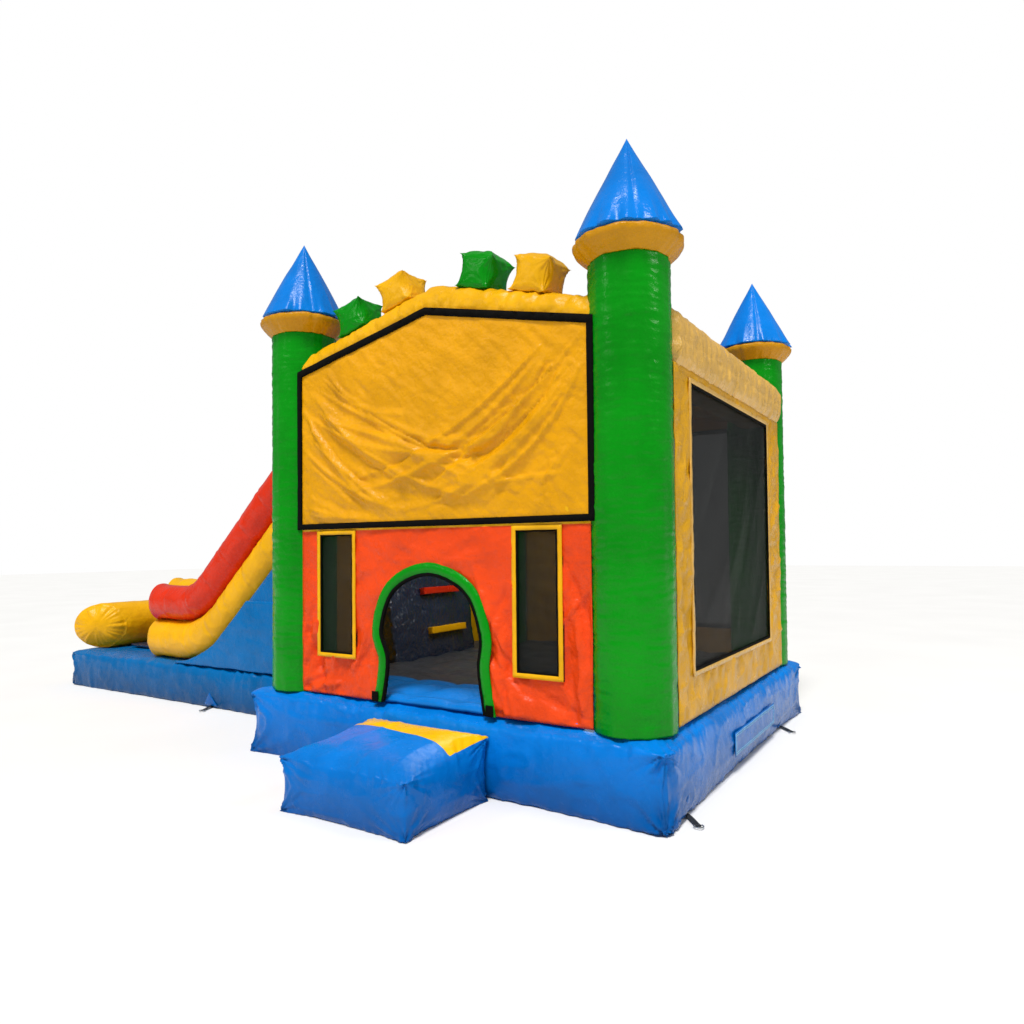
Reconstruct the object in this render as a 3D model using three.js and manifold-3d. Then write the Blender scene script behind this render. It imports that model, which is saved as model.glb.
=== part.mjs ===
// Inflatable bounce house with a climbing wall, a side slide and a splash pool, held up by a blower.
// Millimetres, +Z up, +X along the front from left to right, +Y towards the back.
// Built with the centre of the front left tower at X 0, Y 0, then centred on its footprint at the end.
import * as THREE from "three";
import { mergeVertices } from "three/addons/utils/BufferGeometryUtils.js";
import Module from "manifold-3d";

const wasm = await Module();
wasm.setup();

// ---- driving dimensions ----
const GAP = 0.5; // between pieces that touch
const WALL = 12; // stand-in thickness of the air-filled chambers
const SHEET = 10; // stand-in thickness of the flat wall sheets
const FAR = 6000; // longer than any cut needs

const TOWER_X = 3050; // between tower centres, along the front
const TOWER_Y = 3165; // between tower centres, front to back
const TOWER_R = 270;
const TOWER_TOP = 3530;
const COLLAR_R = 356;
const COLLAR_MID = 3632;
const COLLAR_TOP = 3688;
const CONE_TOP = 4372;

const BASE = { x0: -330, x1: 3380, y0: -310, y1: 3480, top: 540 };
const FACE = 200; // front and back sheets stand this far outside the tower centres
const SIDE = 250; // side sheets stand this far outside the tower centres
const MID_X = TOWER_X / 2;

const GABLE = { ridge: 3690, slope: 0.256, depth: 400 }; // top of the front and back beams
const SIDE_BEAM = { r: 230, z: 3068, offset: 70 };
const MERLON = { width: 300, depth: 300, height: 260, near: 327, far: 793 };
const PANEL = { x0: 186, bottom: 1868, eave: 3178, slope: 0.218, border: 36 };

const DOOR = { x: 1540, foot: 465, waist: 410, waistZ: 850, belly: 475, bellyZ: 1090, top: 1525, trim: 70, splay: 50 };
const FRONT_WINDOWS = [[410, 770, 870, 1820], [2288, 2614, 855, 1818]];
const SIDE_WINDOW = [428, 2550, 850, 2812];
const BACK_WINDOW = [660, 2750, 870, 2900];

const STEP = { x0: 1080, x1: 2090, y0: -1130, front: 375, back: 460 };

const SLIDE = { x0: -5050, x1: -335, y0: 560, y1: 2320, top: 450 };
const RAIL = { lower: 215, upper: 200, between: 9, step: 240, nearY: 820, farY: 2070, nearEnd: -3420, farEnd: -5045, join: -285 };
const RUN = { foot: -2900, level: 458, bend: 1400, angle: 42.5, crest: -760, crestBend: 600, under: 18 };
const LANE = { y0: 1041, y1: 1849, thick: 45, x0: -4440 };
const SHOULDER = { y0: 590, top: 1160 };
const POOL = { r: 290, x: -4755, z: 742, backY: 1849, endY: 820, mitre: 34.6 }; // mitre in degrees, at the near end
const CLIMB = { y0: 1120, y1: 2450, topX: -170, footX: 60, top: 2095 };

const SLEEVE = { x: 2400, z: 262, r: 130, wall: 8, end: 4118 };
const BLOWER = { y: 4420, z: 300, r: 210, half: 120, duct: 116, ductStart: 4060, inlet: 95, motor: 70 };

const RING = { tab: 150, wire: 4, width: 56, length: 46, z: 14 };
const RINGS = [
  { name: "anchor_ring_front_right", x: 3375, y: 60, angle: -50 },
  { name: "anchor_ring_back_right", x: 3375, y: 2680, angle: -50 },
  { name: "anchor_ring_slide_front", x: -2120, y: 565, angle: -63 },
  { name: "anchor_ring_slide_back", x: -2120, y: 2315, angle: 63 },
];

const FLAP = { y0: 1060, y1: 2280, z0: 135, z1: 315, thick: 4, stand: 8 };

// ---- colours ----
const COLOUR = {
  blue: 0x0d78d6, green: 0x16962c, yellow: 0xf5bd0a, mustard: 0xdc9a12, orange: 0xf4511c, red: 0xd8351c,
  navy: 0x1d2c4c, black: 0x15130f, mesh: 0x3a3b3a, grey: 0x6d6f76, steel: 0xb4b8bd, plastic: 0x2c2f33,
};

// ---- geometry helpers ----
function faceOutward(geometry) {
  const p = geometry.attributes.position;
  const index = geometry.index.array;
  const [a, b, c] = [new THREE.Vector3(), new THREE.Vector3(), new THREE.Vector3()];
  let volume = 0;
  for (let i = 0; i < index.length; i += 3) {
    a.fromBufferAttribute(p, index[i]);
    b.fromBufferAttribute(p, index[i + 1]);
    c.fromBufferAttribute(p, index[i + 2]);
    volume += a.dot(b.cross(c));
  }
  if (volume < 0) index.reverse();
  return geometry;
}

// One closed surface with shared corners, without the empty triangles at a lathe's axis.
function welded(geometry) {
  const bare = geometry.clone();
  bare.deleteAttribute("normal");
  bare.deleteAttribute("uv");
  const merged = mergeVertices(bare, 1e-3);
  const index = merged.index.array;
  const kept = [];
  for (let i = 0; i < index.length; i += 3) {
    const [a, b, c] = index.slice(i, i + 3);
    if (a !== b && b !== c && c !== a) kept.push(a, b, c);
  }
  merged.setIndex(kept);
  return faceOutward(merged);
}

function solidOf(geometry) {
  const { attributes, index } = welded(geometry);
  return new wasm.Manifold(new wasm.Mesh({
    numProp: 3,
    vertProperties: new Float32Array(attributes.position.array),
    triVerts: new Uint32Array(index.array),
  }));
}

function geometryOf(solid) {
  const { vertProperties, triVerts } = solid.getMesh();
  const geometry = new THREE.BufferGeometry();
  geometry.setAttribute("position", new THREE.BufferAttribute(vertProperties, 3));
  geometry.setIndex(new THREE.BufferAttribute(triVerts, 1));
  geometry.computeVertexNormals();
  return geometry;
}

const cut = (body, ...tools) => geometryOf(tools.reduce((rest, tool) => rest.subtract(solidOf(tool)), solidOf(body)));
const join = (...pieces) => geometryOf(pieces.map(solidOf).reduce((whole, piece) => whole.add(piece)));

const box = (x0, x1, y0, y1, z0, z1) => new THREE.BoxGeometry(x1 - x0, y1 - y0, z1 - z0)
  .translate((x0 + x1) / 2, (y0 + y1) / 2, (z0 + z1) / 2);

const AXIS_TURN = {
  x: (geometry) => geometry.rotateZ(-Math.PI / 2),
  y: (geometry) => geometry,
  z: (geometry) => geometry.rotateX(Math.PI / 2),
};

function cylinder(axis, radius, from, to, [u, v], sides = 20) {
  const round = AXIS_TURN[axis](new THREE.CylinderGeometry(radius, radius, to - from, sides));
  const middle = (from + to) / 2;
  const place = { x: [middle, u, v], y: [u, middle, v], z: [u, v, middle] }[axis];
  return round.translate(...place);
}

function outline(points) {
  return new THREE.Shape(points.map(([u, v]) => new THREE.Vector2(u, v)));
}

// A profile in X and Z, extruded along Y.
function slabAlongY(shape, y0, y1, edge = 0, curveSegments = 8) {
  const slab = new THREE.ExtrudeGeometry(shape, {
    depth: y1 - y0 - 2 * edge, curveSegments,
    bevelEnabled: edge > 0, bevelThickness: edge, bevelSize: edge, bevelOffset: -edge, bevelSegments: 2,
  });
  return slab.rotateX(Math.PI / 2).translate(0, y1 - edge, 0);
}

// A profile in Y and Z, extruded along X.
function slabAlongX(shape, x0, x1, edge = 0) {
  const slab = new THREE.ExtrudeGeometry(shape, {
    depth: x1 - x0 - 2 * edge, curveSegments: 5,
    bevelEnabled: edge > 0, bevelThickness: edge, bevelSize: edge, bevelOffset: -edge, bevelSegments: 2,
  });
  const turn = new THREE.Matrix4().makeBasis(
    new THREE.Vector3(0, 1, 0), new THREE.Vector3(0, 0, 1), new THREE.Vector3(1, 0, 0));
  return slab.applyMatrix4(turn).translate(x0 + edge, 0, 0);
}

// A block with soft edges, as an inflated chamber has.
function softBlock([x0, y0, z0], [x1, y1, z1], edge, corner, rounds = 2) {
  const [left, right, front, back] = [x0 + edge, x1 - edge, y0 + edge, y1 - edge];
  const shape = new THREE.Shape();
  shape.absarc(right - corner, back - corner, corner, 0, Math.PI / 2);
  shape.absarc(left + corner, back - corner, corner, Math.PI / 2, Math.PI);
  shape.absarc(left + corner, front + corner, corner, Math.PI, 1.5 * Math.PI);
  shape.absarc(right - corner, front + corner, corner, 1.5 * Math.PI, 2 * Math.PI);
  return new THREE.ExtrudeGeometry(shape, {
    depth: z1 - z0 - 2 * edge, curveSegments: rounds,
    bevelEnabled: true, bevelThickness: edge, bevelSize: edge, bevelSegments: rounds,
  }).translate(0, 0, z0 + edge);
}

// The same block as a thin shell, with its air ports cut through.
function softShell(low, high, edge, corner, ...ports) {
  const inner = softBlock(low.map((v) => v + WALL), high.map((v) => v - WALL), edge - WALL / 2, corner);
  return cut(softBlock(low, high, edge, corner), inner, ...ports);
}

function lathe(profile, sides = 20) {
  return new THREE.LatheGeometry(profile.map(([r, z]) => new THREE.Vector2(r, z)), sides).rotateX(Math.PI / 2);
}

// A round tube along a path, as a plain solid.
function rod(points, radius, steps, sides = 12) {
  const section = new THREE.Shape();
  section.absarc(0, 0, radius, 0, 2 * Math.PI);
  const path = new THREE.CatmullRomCurve3(points, false, "centripetal");
  return new THREE.ExtrudeGeometry(section, { steps, curveSegments: sides / 2, bevelEnabled: false, extrudePath: path });
}

// A round tube closed at its first end and open at its last.
function sock(points, radius, steps) {
  const toward = (from, to, far) => from.clone().add(to.clone().sub(from).setLength(far));
  const last = points.length - 1;
  const core = [...points];
  core[0] = toward(points[0], points[1], WALL);
  core[last] = toward(points[last], points[last - 1], -WALL);
  return cut(rod(points, radius, steps), rod(core, radius - WALL, steps));
}

const towerCut = (radius) => [[0, 0], [TOWER_X, 0], [TOWER_X, TOWER_Y], [0, TOWER_Y]]
  .map((centre) => cylinder("z", radius, -10, FAR, centre));

// ---- the model ----
const group = new THREE.Group();

function add(name, geometry, colour, { roughness = 0.35, metalness = 0 } = {}) {
  const mesh = new THREE.Mesh(welded(geometry), new THREE.MeshStandardMaterial({
    color: colour, roughness, metalness,
  }));
  mesh.name = name;
  group.add(mesh);
  return mesh;
}

// ---- anchor tabs: webbing loops sewn to the foot of the base, and their D-rings ----
function ringFrame({ x, y, angle }) {
  return new THREE.Matrix4().makeRotationZ(THREE.MathUtils.degToRad(angle)).setPosition(x, y, RING.z);
}

// In its own frame a tab runs along +X from the base, and its loop holds the ring's bar along Y.
function anchorTab(ring) {
  const tab = join(
    box(-60, RING.tab, -18, 18, -4, 2),
    cylinder("y", 9, -18, 18, [RING.tab, 0], 10),
  );
  return cut(tab, cylinder("y", RING.wire + 1, -30, 30, [RING.tab, 0], 10)).applyMatrix4(ringFrame(ring));
}

function anchorRing(ring) {
  const half = RING.width / 2;
  const path = [[0, -half], [RING.length * 0.5, -half], [RING.length, 0], [RING.length * 0.5, half], [0, half]]
    .map(([u, v]) => new THREE.Vector3(RING.tab + u, v, 0));
  const loop = rod(path, RING.wire, 10, 6);
  const bar = cylinder("y", RING.wire, -half - 2, half + 2, [RING.tab, 0], 8);
  return join(bar, loop).applyMatrix4(ringFrame(ring));
}

// ---- base of the house ----
function base() {
  const ports = [
    ...[[0, 0], [TOWER_X, 0], [TOWER_X, TOWER_Y], [0, TOWER_Y]]
      .map((centre) => cylinder("z", 200, BASE.top - 40, BASE.top + 40, centre, 12)),
    cylinder("y", 80, BASE.y0 - 40, BASE.y0 + 40, [(STEP.x0 + STEP.x1) / 2, 200], 12),
    cylinder("x", 100, BASE.x0 - 40, BASE.x0 + 40, [(SLIDE.y0 + SLIDE.y1) / 2, 220], 12),
    cylinder("y", SLEEVE.r - 20, BASE.y1 - 40, BASE.y1 + 40, [SLEEVE.x, SLEEVE.z], 12),
  ];
  const shell = softShell([BASE.x0, BASE.y0, 0], [BASE.x1, BASE.y1, BASE.top], 70, 110, ...ports);
  const inside = softBlock([BASE.x0 + WALL, BASE.y0 + WALL, WALL], [BASE.x1 - WALL, BASE.y1 - WALL, BASE.top - WALL],
    70 - WALL / 2, 110);
  const tabs = RINGS.slice(0, 2).map((ring) => cut(anchorTab(ring), inside));
  add("base_mattress", join(shell, ...tabs), COLOUR.blue);
}

// Upright webs tie the jump floor to the ground sheet, so the floor stays flat.
function baffles() {
  const [x0, x1, y0, y1] = [BASE.x0 + 120, BASE.x1 - 120, BASE.y0 + 120, BASE.y1 - 120];
  const [z0, z1] = [WALL + GAP, BASE.top - WALL - GAP];
  const webs = [];
  const rows = 5;
  for (let i = 0; i < rows; i += 1) {
    const y = y0 + ((i + 0.5) * (y1 - y0)) / rows;
    webs.push(box(x0, x1, y - 4, y + 4, z0, z1));
  }
  const columns = 2;
  for (let i = 0; i < columns; i += 1) {
    const x = x0 + ((i + 0.5) * (x1 - x0)) / columns;
    webs.push(box(x - 4, x + 4, y0 + 50, y1 - 50, z0 + 20, z1 - 20));
  }
  add("floor_baffles", join(...webs), COLOUR.blue);
}

function jumpFloor() {
  const slab = box(-SIDE + 15, TOWER_X + SIDE - 15, -FACE + 15, TOWER_Y + FACE - 15, BASE.top + GAP, BASE.top + 25);
  const climbPlace = box(-FAR, CLIMB.footX + 5, CLIMB.y0 - 5, CLIMB.y1 + 5, 0, FAR);
  const corners = [-FAR, TOWER_X].flatMap((x) => [-FAR, TOWER_Y].map((y) => box(x, x + FAR, y, y + FAR, 0, FAR)));
  add("jump_floor", cut(slab, climbPlace, ...corners, ...towerCut(TOWER_R + 2)), COLOUR.grey);
}

// ---- corner towers with their collars and cones ----
function towers() {
  const places = { front_left: [0, 0], front_right: [TOWER_X, 0], back_right: [TOWER_X, TOWER_Y], back_left: [0, TOWER_Y] };
  const inner = TOWER_R - WALL;
  const coneR = COLLAR_R - 6;
  const tube = [[inner, BASE.top + GAP], [TOWER_R, BASE.top + GAP], [TOWER_R, TOWER_TOP], [inner, TOWER_TOP]];
  const collar = [
    [inner, TOWER_TOP + GAP], [TOWER_R, TOWER_TOP + GAP], [COLLAR_R - 22, COLLAR_MID - 54], [COLLAR_R, COLLAR_MID],
    [coneR, COLLAR_TOP], [coneR - 16, COLLAR_TOP], [coneR - 24, COLLAR_MID - 12],
  ];
  const cone = [[0, CONE_TOP], [coneR, COLLAR_TOP + GAP], [coneR - WALL, COLLAR_TOP + GAP], [0, CONE_TOP - 30]];
  for (const [place, [x, y]] of Object.entries(places)) {
    const ring = (profile, sides) => lathe([...profile, profile[0]], sides);
    add(`tower_${place}`, ring(tube, 20), COLOUR.green).position.set(x, y, 0);
    add(`collar_${place}`, ring(collar, 18), COLOUR.mustard).position.set(x, y, 0);
    add(`cone_${place}`, lathe(cone, 18), COLOUR.blue).position.set(x, y, 0);
  }
}

// ---- beams between the tower tops ----
const gableTop = (x) => GABLE.ridge - GABLE.slope * Math.abs(x - MID_X);

function gableBand(x0, x1, above, below) {
  return outline([
    [x0, gableTop(x0) - below], [MID_X, GABLE.ridge - below], [x1, gableTop(x1) - below],
    [x1, gableTop(x1) - above], [MID_X, GABLE.ridge - above], [x0, gableTop(x0) - above],
  ]);
}

function gableBeam(name, y) {
  const half = GABLE.depth / 2 - 1;
  const outer = slabAlongY(gableBand(60, TOWER_X - 60, 0, GABLE.depth), y - half, y + half, 90);
  const core = slabAlongY(gableBand(0, TOWER_X, WALL, GABLE.depth - WALL), y - half + WALL, y + half - WALL, 80);
  add(name, cut(outer, core, ...towerCut(TOWER_R + 1)), COLOUR.yellow);
}

function sideBeam(name, x) {
  const outer = cylinder("y", SIDE_BEAM.r, 110, TOWER_Y - 110, [x, SIDE_BEAM.z], 18);
  const core = cylinder("y", SIDE_BEAM.r - WALL, 0, TOWER_Y, [x, SIDE_BEAM.z], 18);
  add(name, cut(outer, core, ...towerCut(TOWER_R + 1)), COLOUR.yellow);
}

function merlons() {
  const { width, depth, height, near, far } = MERLON;
  const places = { green_left: -far, yellow_left: -near, green_right: near, yellow_right: far };
  for (const [place, offset] of Object.entries(places)) {
    const port = cylinder("z", 70, -20, 30, [0, 0], 8);
    const blockOf = (inset) => softBlock([inset - width / 2, inset - depth / 2, inset],
      [width / 2 - inset, depth / 2 - inset, height - inset], 24 - inset / 2, 24, 1);
    const shell = cut(blockOf(0), blockOf(WALL), port);
    const block = add(`merlon_${place}`, shell, place.startsWith("green") ? COLOUR.green : COLOUR.yellow);
    const tilt = Math.atan(GABLE.slope) * Math.sign(offset);
    block.rotation.y = tilt;
    block.position.set(MID_X + offset, 0, gableTop(MID_X + offset) + 1);
  }
}

// ---- front wall, doorway and banner ----
// The doorway's edge from its left foot over the top to its right foot: a horseshoe with a slight waist,
// whose right leg stands a little further out.
function doorEdge() {
  const leg = (splay) => [
    [-DOOR.foot - splay, BASE.top - 30], [-DOOR.waist - splay, DOOR.waistZ], [-DOOR.belly, DOOR.bellyZ],
    [-DOOR.belly * 0.72, DOOR.top - 130],
  ];
  const right = leg(DOOR.splay).map(([x, z]) => [-x, z]).reverse();
  return new THREE.SplineCurve([...leg(0), [0, DOOR.top], ...right]
    .map(([x, z]) => new THREE.Vector2(DOOR.x + x, z)));
}

function doorBand(offset, steps = 22) {
  const edge = doorEdge();
  return Array.from({ length: steps + 1 }, (_, i) => {
    const tangent = edge.getTangent(i / steps);
    const point = edge.getPoint(i / steps);
    return [point.x - tangent.y * offset, point.y + tangent.x * offset];
  });
}

function frontWall() {
  const top = GABLE.depth + 3;
  const [x0, x1] = [197, TOWER_X - 197];
  const sheet = slabAlongY(outline([
    [x0, BASE.top + 1], [x1, BASE.top + 1], [x1, gableTop(x1) - top],
    [MID_X, GABLE.ridge - top], [x0, gableTop(x0) - top],
  ]), -FACE, -FACE + SHEET);
  const holes = FRONT_WINDOWS.map(([a, b, c, d]) => box(a, b, -FAR, 0, c, d));
  const doorway = slabAlongY(outline(doorBand(0)), -FAR, 0);
  add("front_wall", cut(sheet, doorway, ...holes), COLOUR.orange);

  const trim = outline([...doorBand(0), ...doorBand(DOOR.trim).reverse()]);
  const floorCut = box(-FAR, FAR, -FAR, FAR, -FAR, BASE.top + 2);
  add("door_trim", cut(slabAlongY(trim, -FACE - 40, -FACE - GAP), floorCut), COLOUR.green);

  ["window_mesh_left", "window_mesh_right"].forEach((name, i) => {
    const [a, b, c, d] = FRONT_WINDOWS[i];
    const y = -FACE + SHEET + GAP;
    add(name, box(a - 30, b + 30, y, y + 5, c - 30, d + 30), COLOUR.mesh, { roughness: 0.9 });
  });
}

function banner() {
  const shapeAt = (inset) => {
    const [x0, x1] = [PANEL.x0 + inset, TOWER_X - PANEL.x0 - inset];
    const eave = PANEL.eave - inset;
    return [
      [x0, PANEL.bottom + inset], [x1, PANEL.bottom + inset], [x1, eave],
      [MID_X, eave + (MID_X - x0) * PANEL.slope], [x0, eave],
    ];
  };
  const back = -FACE - GAP;
  add("banner_panel", slabAlongY(outline(shapeAt(0)), back - 6, back), COLOUR.yellow);
  const frame = outline(shapeAt(-4));
  frame.holes.push(new THREE.Path(shapeAt(PANEL.border).map(([u, v]) => new THREE.Vector2(u, v))));
  add("banner_border", slabAlongY(frame, back - 16.5, back - 6.5), COLOUR.black, { roughness: 0.9 });
}

// ---- side and back walls, mesh windows and roof ----
function sideWalls() {
  const [y0, y1, z0, z1] = [130, TOWER_Y - 130, BASE.top + 1, SIDE_BEAM.z - SIDE_BEAM.r - 2];
  const x = TOWER_X + SIDE;
  const [a, b, c, d] = SIDE_WINDOW;
  add("right_wall", cut(box(x - SHEET, x, y0, y1, z0, z1), box(x - 50, x + 50, a, b, c, d)), COLOUR.yellow);
  const meshX = x - SHEET - GAP;
  add("right_mesh", box(meshX - 6, meshX, a - 40, b + 40, c - 40, z1 - 4), COLOUR.mesh, { roughness: 0.9 });

  const passage = box(-FAR, 0, LANE.y0, LANE.y1, RUN_TOP, FAR);
  add("left_wall", cut(box(-SIDE, -SIDE + SHEET, y0, y1, z0, z1), passage), COLOUR.yellow);
}

function backWall() {
  const top = GABLE.depth + 3;
  const [x0, x1] = [197, TOWER_X - 197];
  const y = TOWER_Y + FACE;
  const sheet = slabAlongY(outline([
    [x0, BASE.top + 1], [x1, BASE.top + 1], [x1, gableTop(x1) - top],
    [MID_X, GABLE.ridge - top], [x0, gableTop(x0) - top],
  ]), y - SHEET, y);
  const [a, b, c, d] = BACK_WINDOW;
  add("back_wall", cut(sheet, box(a, b, 0, FAR, c, d)), COLOUR.yellow);
  add("back_mesh", box(a - 40, b + 40, y - SHEET - GAP - 6, y - SHEET - GAP, c - 40, d + 40), COLOUR.mesh,
    { roughness: 0.9 });
}

function roof() {
  const [x0, x1, eave] = [166, TOWER_X - 166, 3060];
  const ridge = eave + (MID_X - x0) * GABLE.slope;
  const sheet = slabAlongY(outline([
    [x0, eave], [MID_X, ridge], [x1, eave], [x1, eave - SHEET], [MID_X, ridge - SHEET], [x0, eave - SHEET],
  ]), GABLE.depth / 2 + 1, TOWER_Y - GABLE.depth / 2 - 1);
  add("roof_sheet", cut(sheet, ...towerCut(TOWER_R + 2)), COLOUR.blue);
}

// ---- entry step ----
function entryStep() {
  const { x0, x1, y0, front, back } = STEP;
  const y1 = BASE.y0 - 1;
  const profile = (inset) => outline([
    [y0 + inset, inset], [y1 - inset, inset], [y1 - inset, back - inset], [y0 + inset, front - inset],
  ]);
  const outer = slabAlongX(profile(0), x0, x1, 40);
  const core = slabAlongX(profile(WALL), x0 + WALL, x1 - WALL, 30);
  const port = cylinder("y", 80, y1 - 90, y1 + 40, [(x0 + x1) / 2, 200], 12);
  add("entry_step", cut(outer, core, port), COLOUR.blue);
}

// ---- slide ----
// The line under the rails: level by the pool, up a round bend, straight, and over a crest to the platform.
const TILT = THREE.MathUtils.degToRad(RUN.angle);
const BEND_END = { x: RUN.foot + RUN.bend * Math.sin(TILT), z: RUN.level + RUN.bend * (1 - Math.cos(TILT)) };
const CREST_Z = BEND_END.z + (RUN.crest - BEND_END.x) * Math.tan(TILT);
const RUN_TOP = CREST_Z + RUN.crestBend * (1 - Math.cos(TILT));

// Points of that line moved up by an offset, from xStart to xEnd.
function slideLine(offset, xStart, xEnd) {
  const points = [[xStart, RUN.level + offset]];
  const bendSteps = 4;
  for (let i = 0; i <= bendSteps; i += 1) {
    const turn = (TILT * i) / bendSteps;
    const radius = RUN.bend - offset;
    points.push([RUN.foot + radius * Math.sin(turn), RUN.level + RUN.bend - radius * Math.cos(turn)]);
  }
  const crestSteps = 3;
  const crestX = RUN.crest + RUN.crestBend * Math.sin(TILT);
  for (let i = 0; i <= crestSteps; i += 1) {
    const turn = TILT * (1 - i / crestSteps);
    const radius = RUN.crestBend + offset;
    points.push([crestX - radius * Math.sin(turn), RUN_TOP - RUN.crestBend + radius * Math.cos(turn)]);
  }
  points.push([xEnd, RUN_TOP + offset]);
  return points;
}

function slideBase() {
  const toHouse = cylinder("x", 100, SLIDE.x1 - 40, SLIDE.x1 + 40, [(SLIDE.y0 + SLIDE.y1) / 2, 220], 12);
  const toSlide = cylinder("z", 120, SLIDE.top - 40, SLIDE.top + 40, [-1000, (SLIDE.y0 + SLIDE.y1) / 2], 12);
  const [low, high] = [[SLIDE.x0, SLIDE.y0, 0], [SLIDE.x1, SLIDE.y1, SLIDE.top]];
  const shell = softShell(low, high, 60, 90, toHouse, toSlide);
  const inside = softBlock(low.map((v) => v + WALL), high.map((v) => v - WALL), 60 - WALL / 2, 90);
  const tabs = RINGS.slice(2).map((ring) => cut(anchorTab(ring), inside));
  add("slide_base", join(shell, ...tabs), COLOUR.blue);
}

function slideBody() {
  const [near, far, end] = [RAIL.nearY - 195, RAIL.farY + 195, SLIDE.x1 - 1];
  const floor = SLIDE.top + GAP;
  const lineUnder = (drop) => slideLine(-drop, RUN.foot, end).slice(2);
  const side = (drop, bottom, close) => outline([
    [RUN.foot + 240, bottom], ...lineUnder(drop), [end - close, bottom],
  ]);
  const hull = slabAlongY(side(RUN.under, floor, 0), near, far);
  const shoulder = cut(slabAlongY(side(RUN.under, floor, 0), SHOULDER.y0, near + 1), box(-FAR, FAR, -FAR, FAR, SHOULDER.top, FAR));
  const core = cut(
    slabAlongY(side(RUN.under + WALL, floor - 60, WALL), near + WALL, far - WALL),
    box(-FAR, RUN.foot + 700, -FAR, FAR, -FAR, FAR),
  );
  add("slide_body", cut(join(hull, shoulder), core), COLOUR.blue);

  const lane = [...slideLine(1, LANE.x0, end), ...slideLine(LANE.thick, LANE.x0, end).reverse()];
  add("slide_lane", slabAlongY(outline(lane), LANE.y0, LANE.y1), COLOUR.navy);
}

function rails() {
  const { lower, upper } = RAIL;
  const rail = (name, y, xStart, offset, radius, colour) => {
    const points = slideLine(offset, xStart, RAIL.join).map(([x, z]) => new THREE.Vector3(x, y, z));
    const steps = Math.round((RAIL.join - xStart) / RAIL.step);
    add(name, sock(points, radius, steps), colour);
  };
  const upperOffset = 2 * lower + upper + RAIL.between;
  rail("near_rail_lower", RAIL.nearY, RAIL.nearEnd, lower, lower, COLOUR.yellow);
  rail("near_rail_upper", RAIL.nearY, RAIL.nearEnd, upperOffset, upper, COLOUR.red);
  rail("far_rail_lower", RAIL.farY, RAIL.farEnd, lower, lower, COLOUR.red);
  rail("far_rail_upper", RAIL.farY, RAIL.farEnd, upperOffset, upper, COLOUR.yellow);
}

// A straight tube, closed at its near end by a panel that slants to face the pool's way out.
function poolWall() {
  const { r, x, z, backY, endY, mitre } = POOL;
  const trimmed = (radius, end, inset) => cut(
    cylinder("y", radius, endY - 2 * r, end, [x, z], 24),
    box(-FAR, FAR, -FAR, 0, -FAR, FAR).rotateZ(THREE.MathUtils.degToRad(mitre)).translate(x, endY + inset, 0),
  );
  add("pool_wall", cut(trimmed(r, backY, 0), trimmed(r - WALL, backY + WALL, WALL * 1.25)), COLOUR.yellow);
}

// ---- climbing wall up to the slide's platform ----
function climbingWall() {
  const side = (inset) => outline([
    [-SIDE + 12 + inset, BASE.top + GAP + inset], [CLIMB.footX - inset * 1.5, BASE.top + GAP + inset],
    [CLIMB.topX - inset, CLIMB.top - inset], [-SIDE + 12 + inset, CLIMB.top - inset],
  ]);
  const shell = cut(
    slabAlongY(side(0), CLIMB.y0, CLIMB.y1),
    slabAlongY(side(WALL), CLIMB.y0 + WALL, CLIMB.y1 - WALL),
    cylinder("z", 100, BASE.top - 20, BASE.top + 40, [-92, (CLIMB.y0 + CLIMB.y1) / 2], 12),
  );
  add("climbing_wall", shell, COLOUR.navy);

  const lean = Math.atan2(CLIMB.footX - CLIMB.topX, CLIMB.top - BASE.top);
  const holds = { climb_hold_red: [1250, 1885, COLOUR.red], climb_hold_yellow: [835, 1940, COLOUR.yellow] };
  for (const [name, [z, y, colour]] of Object.entries(holds)) {
    const x = CLIMB.footX - (z - BASE.top) * Math.tan(lean);
    const hold = add(name, softBlock([2, -305, -45], [82, 305, 45], 20, 14, 1), colour);
    hold.rotation.y = -lean;
    hold.position.set(x, y, z);
  }
}

// ---- inflation sleeve and blower ----
function sleeve() {
  const { x, z, r, wall, end } = SLEEVE;
  const start = BASE.y1 + 1;
  add("inflation_sleeve", cut(
    cylinder("y", r, start, end, [x, z], 24),
    cylinder("y", r - wall, start - 10, end + 10, [x, z], 24),
  ), COLOUR.blue);
  add("sleeve_strap", cut(
    cylinder("y", r + 5, end - 45, end - 15, [x, z], 24),
    cylinder("y", r + GAP, end - 100, end + 10, [x, z], 24),
  ), COLOUR.black, { roughness: 0.8 });
}

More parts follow.
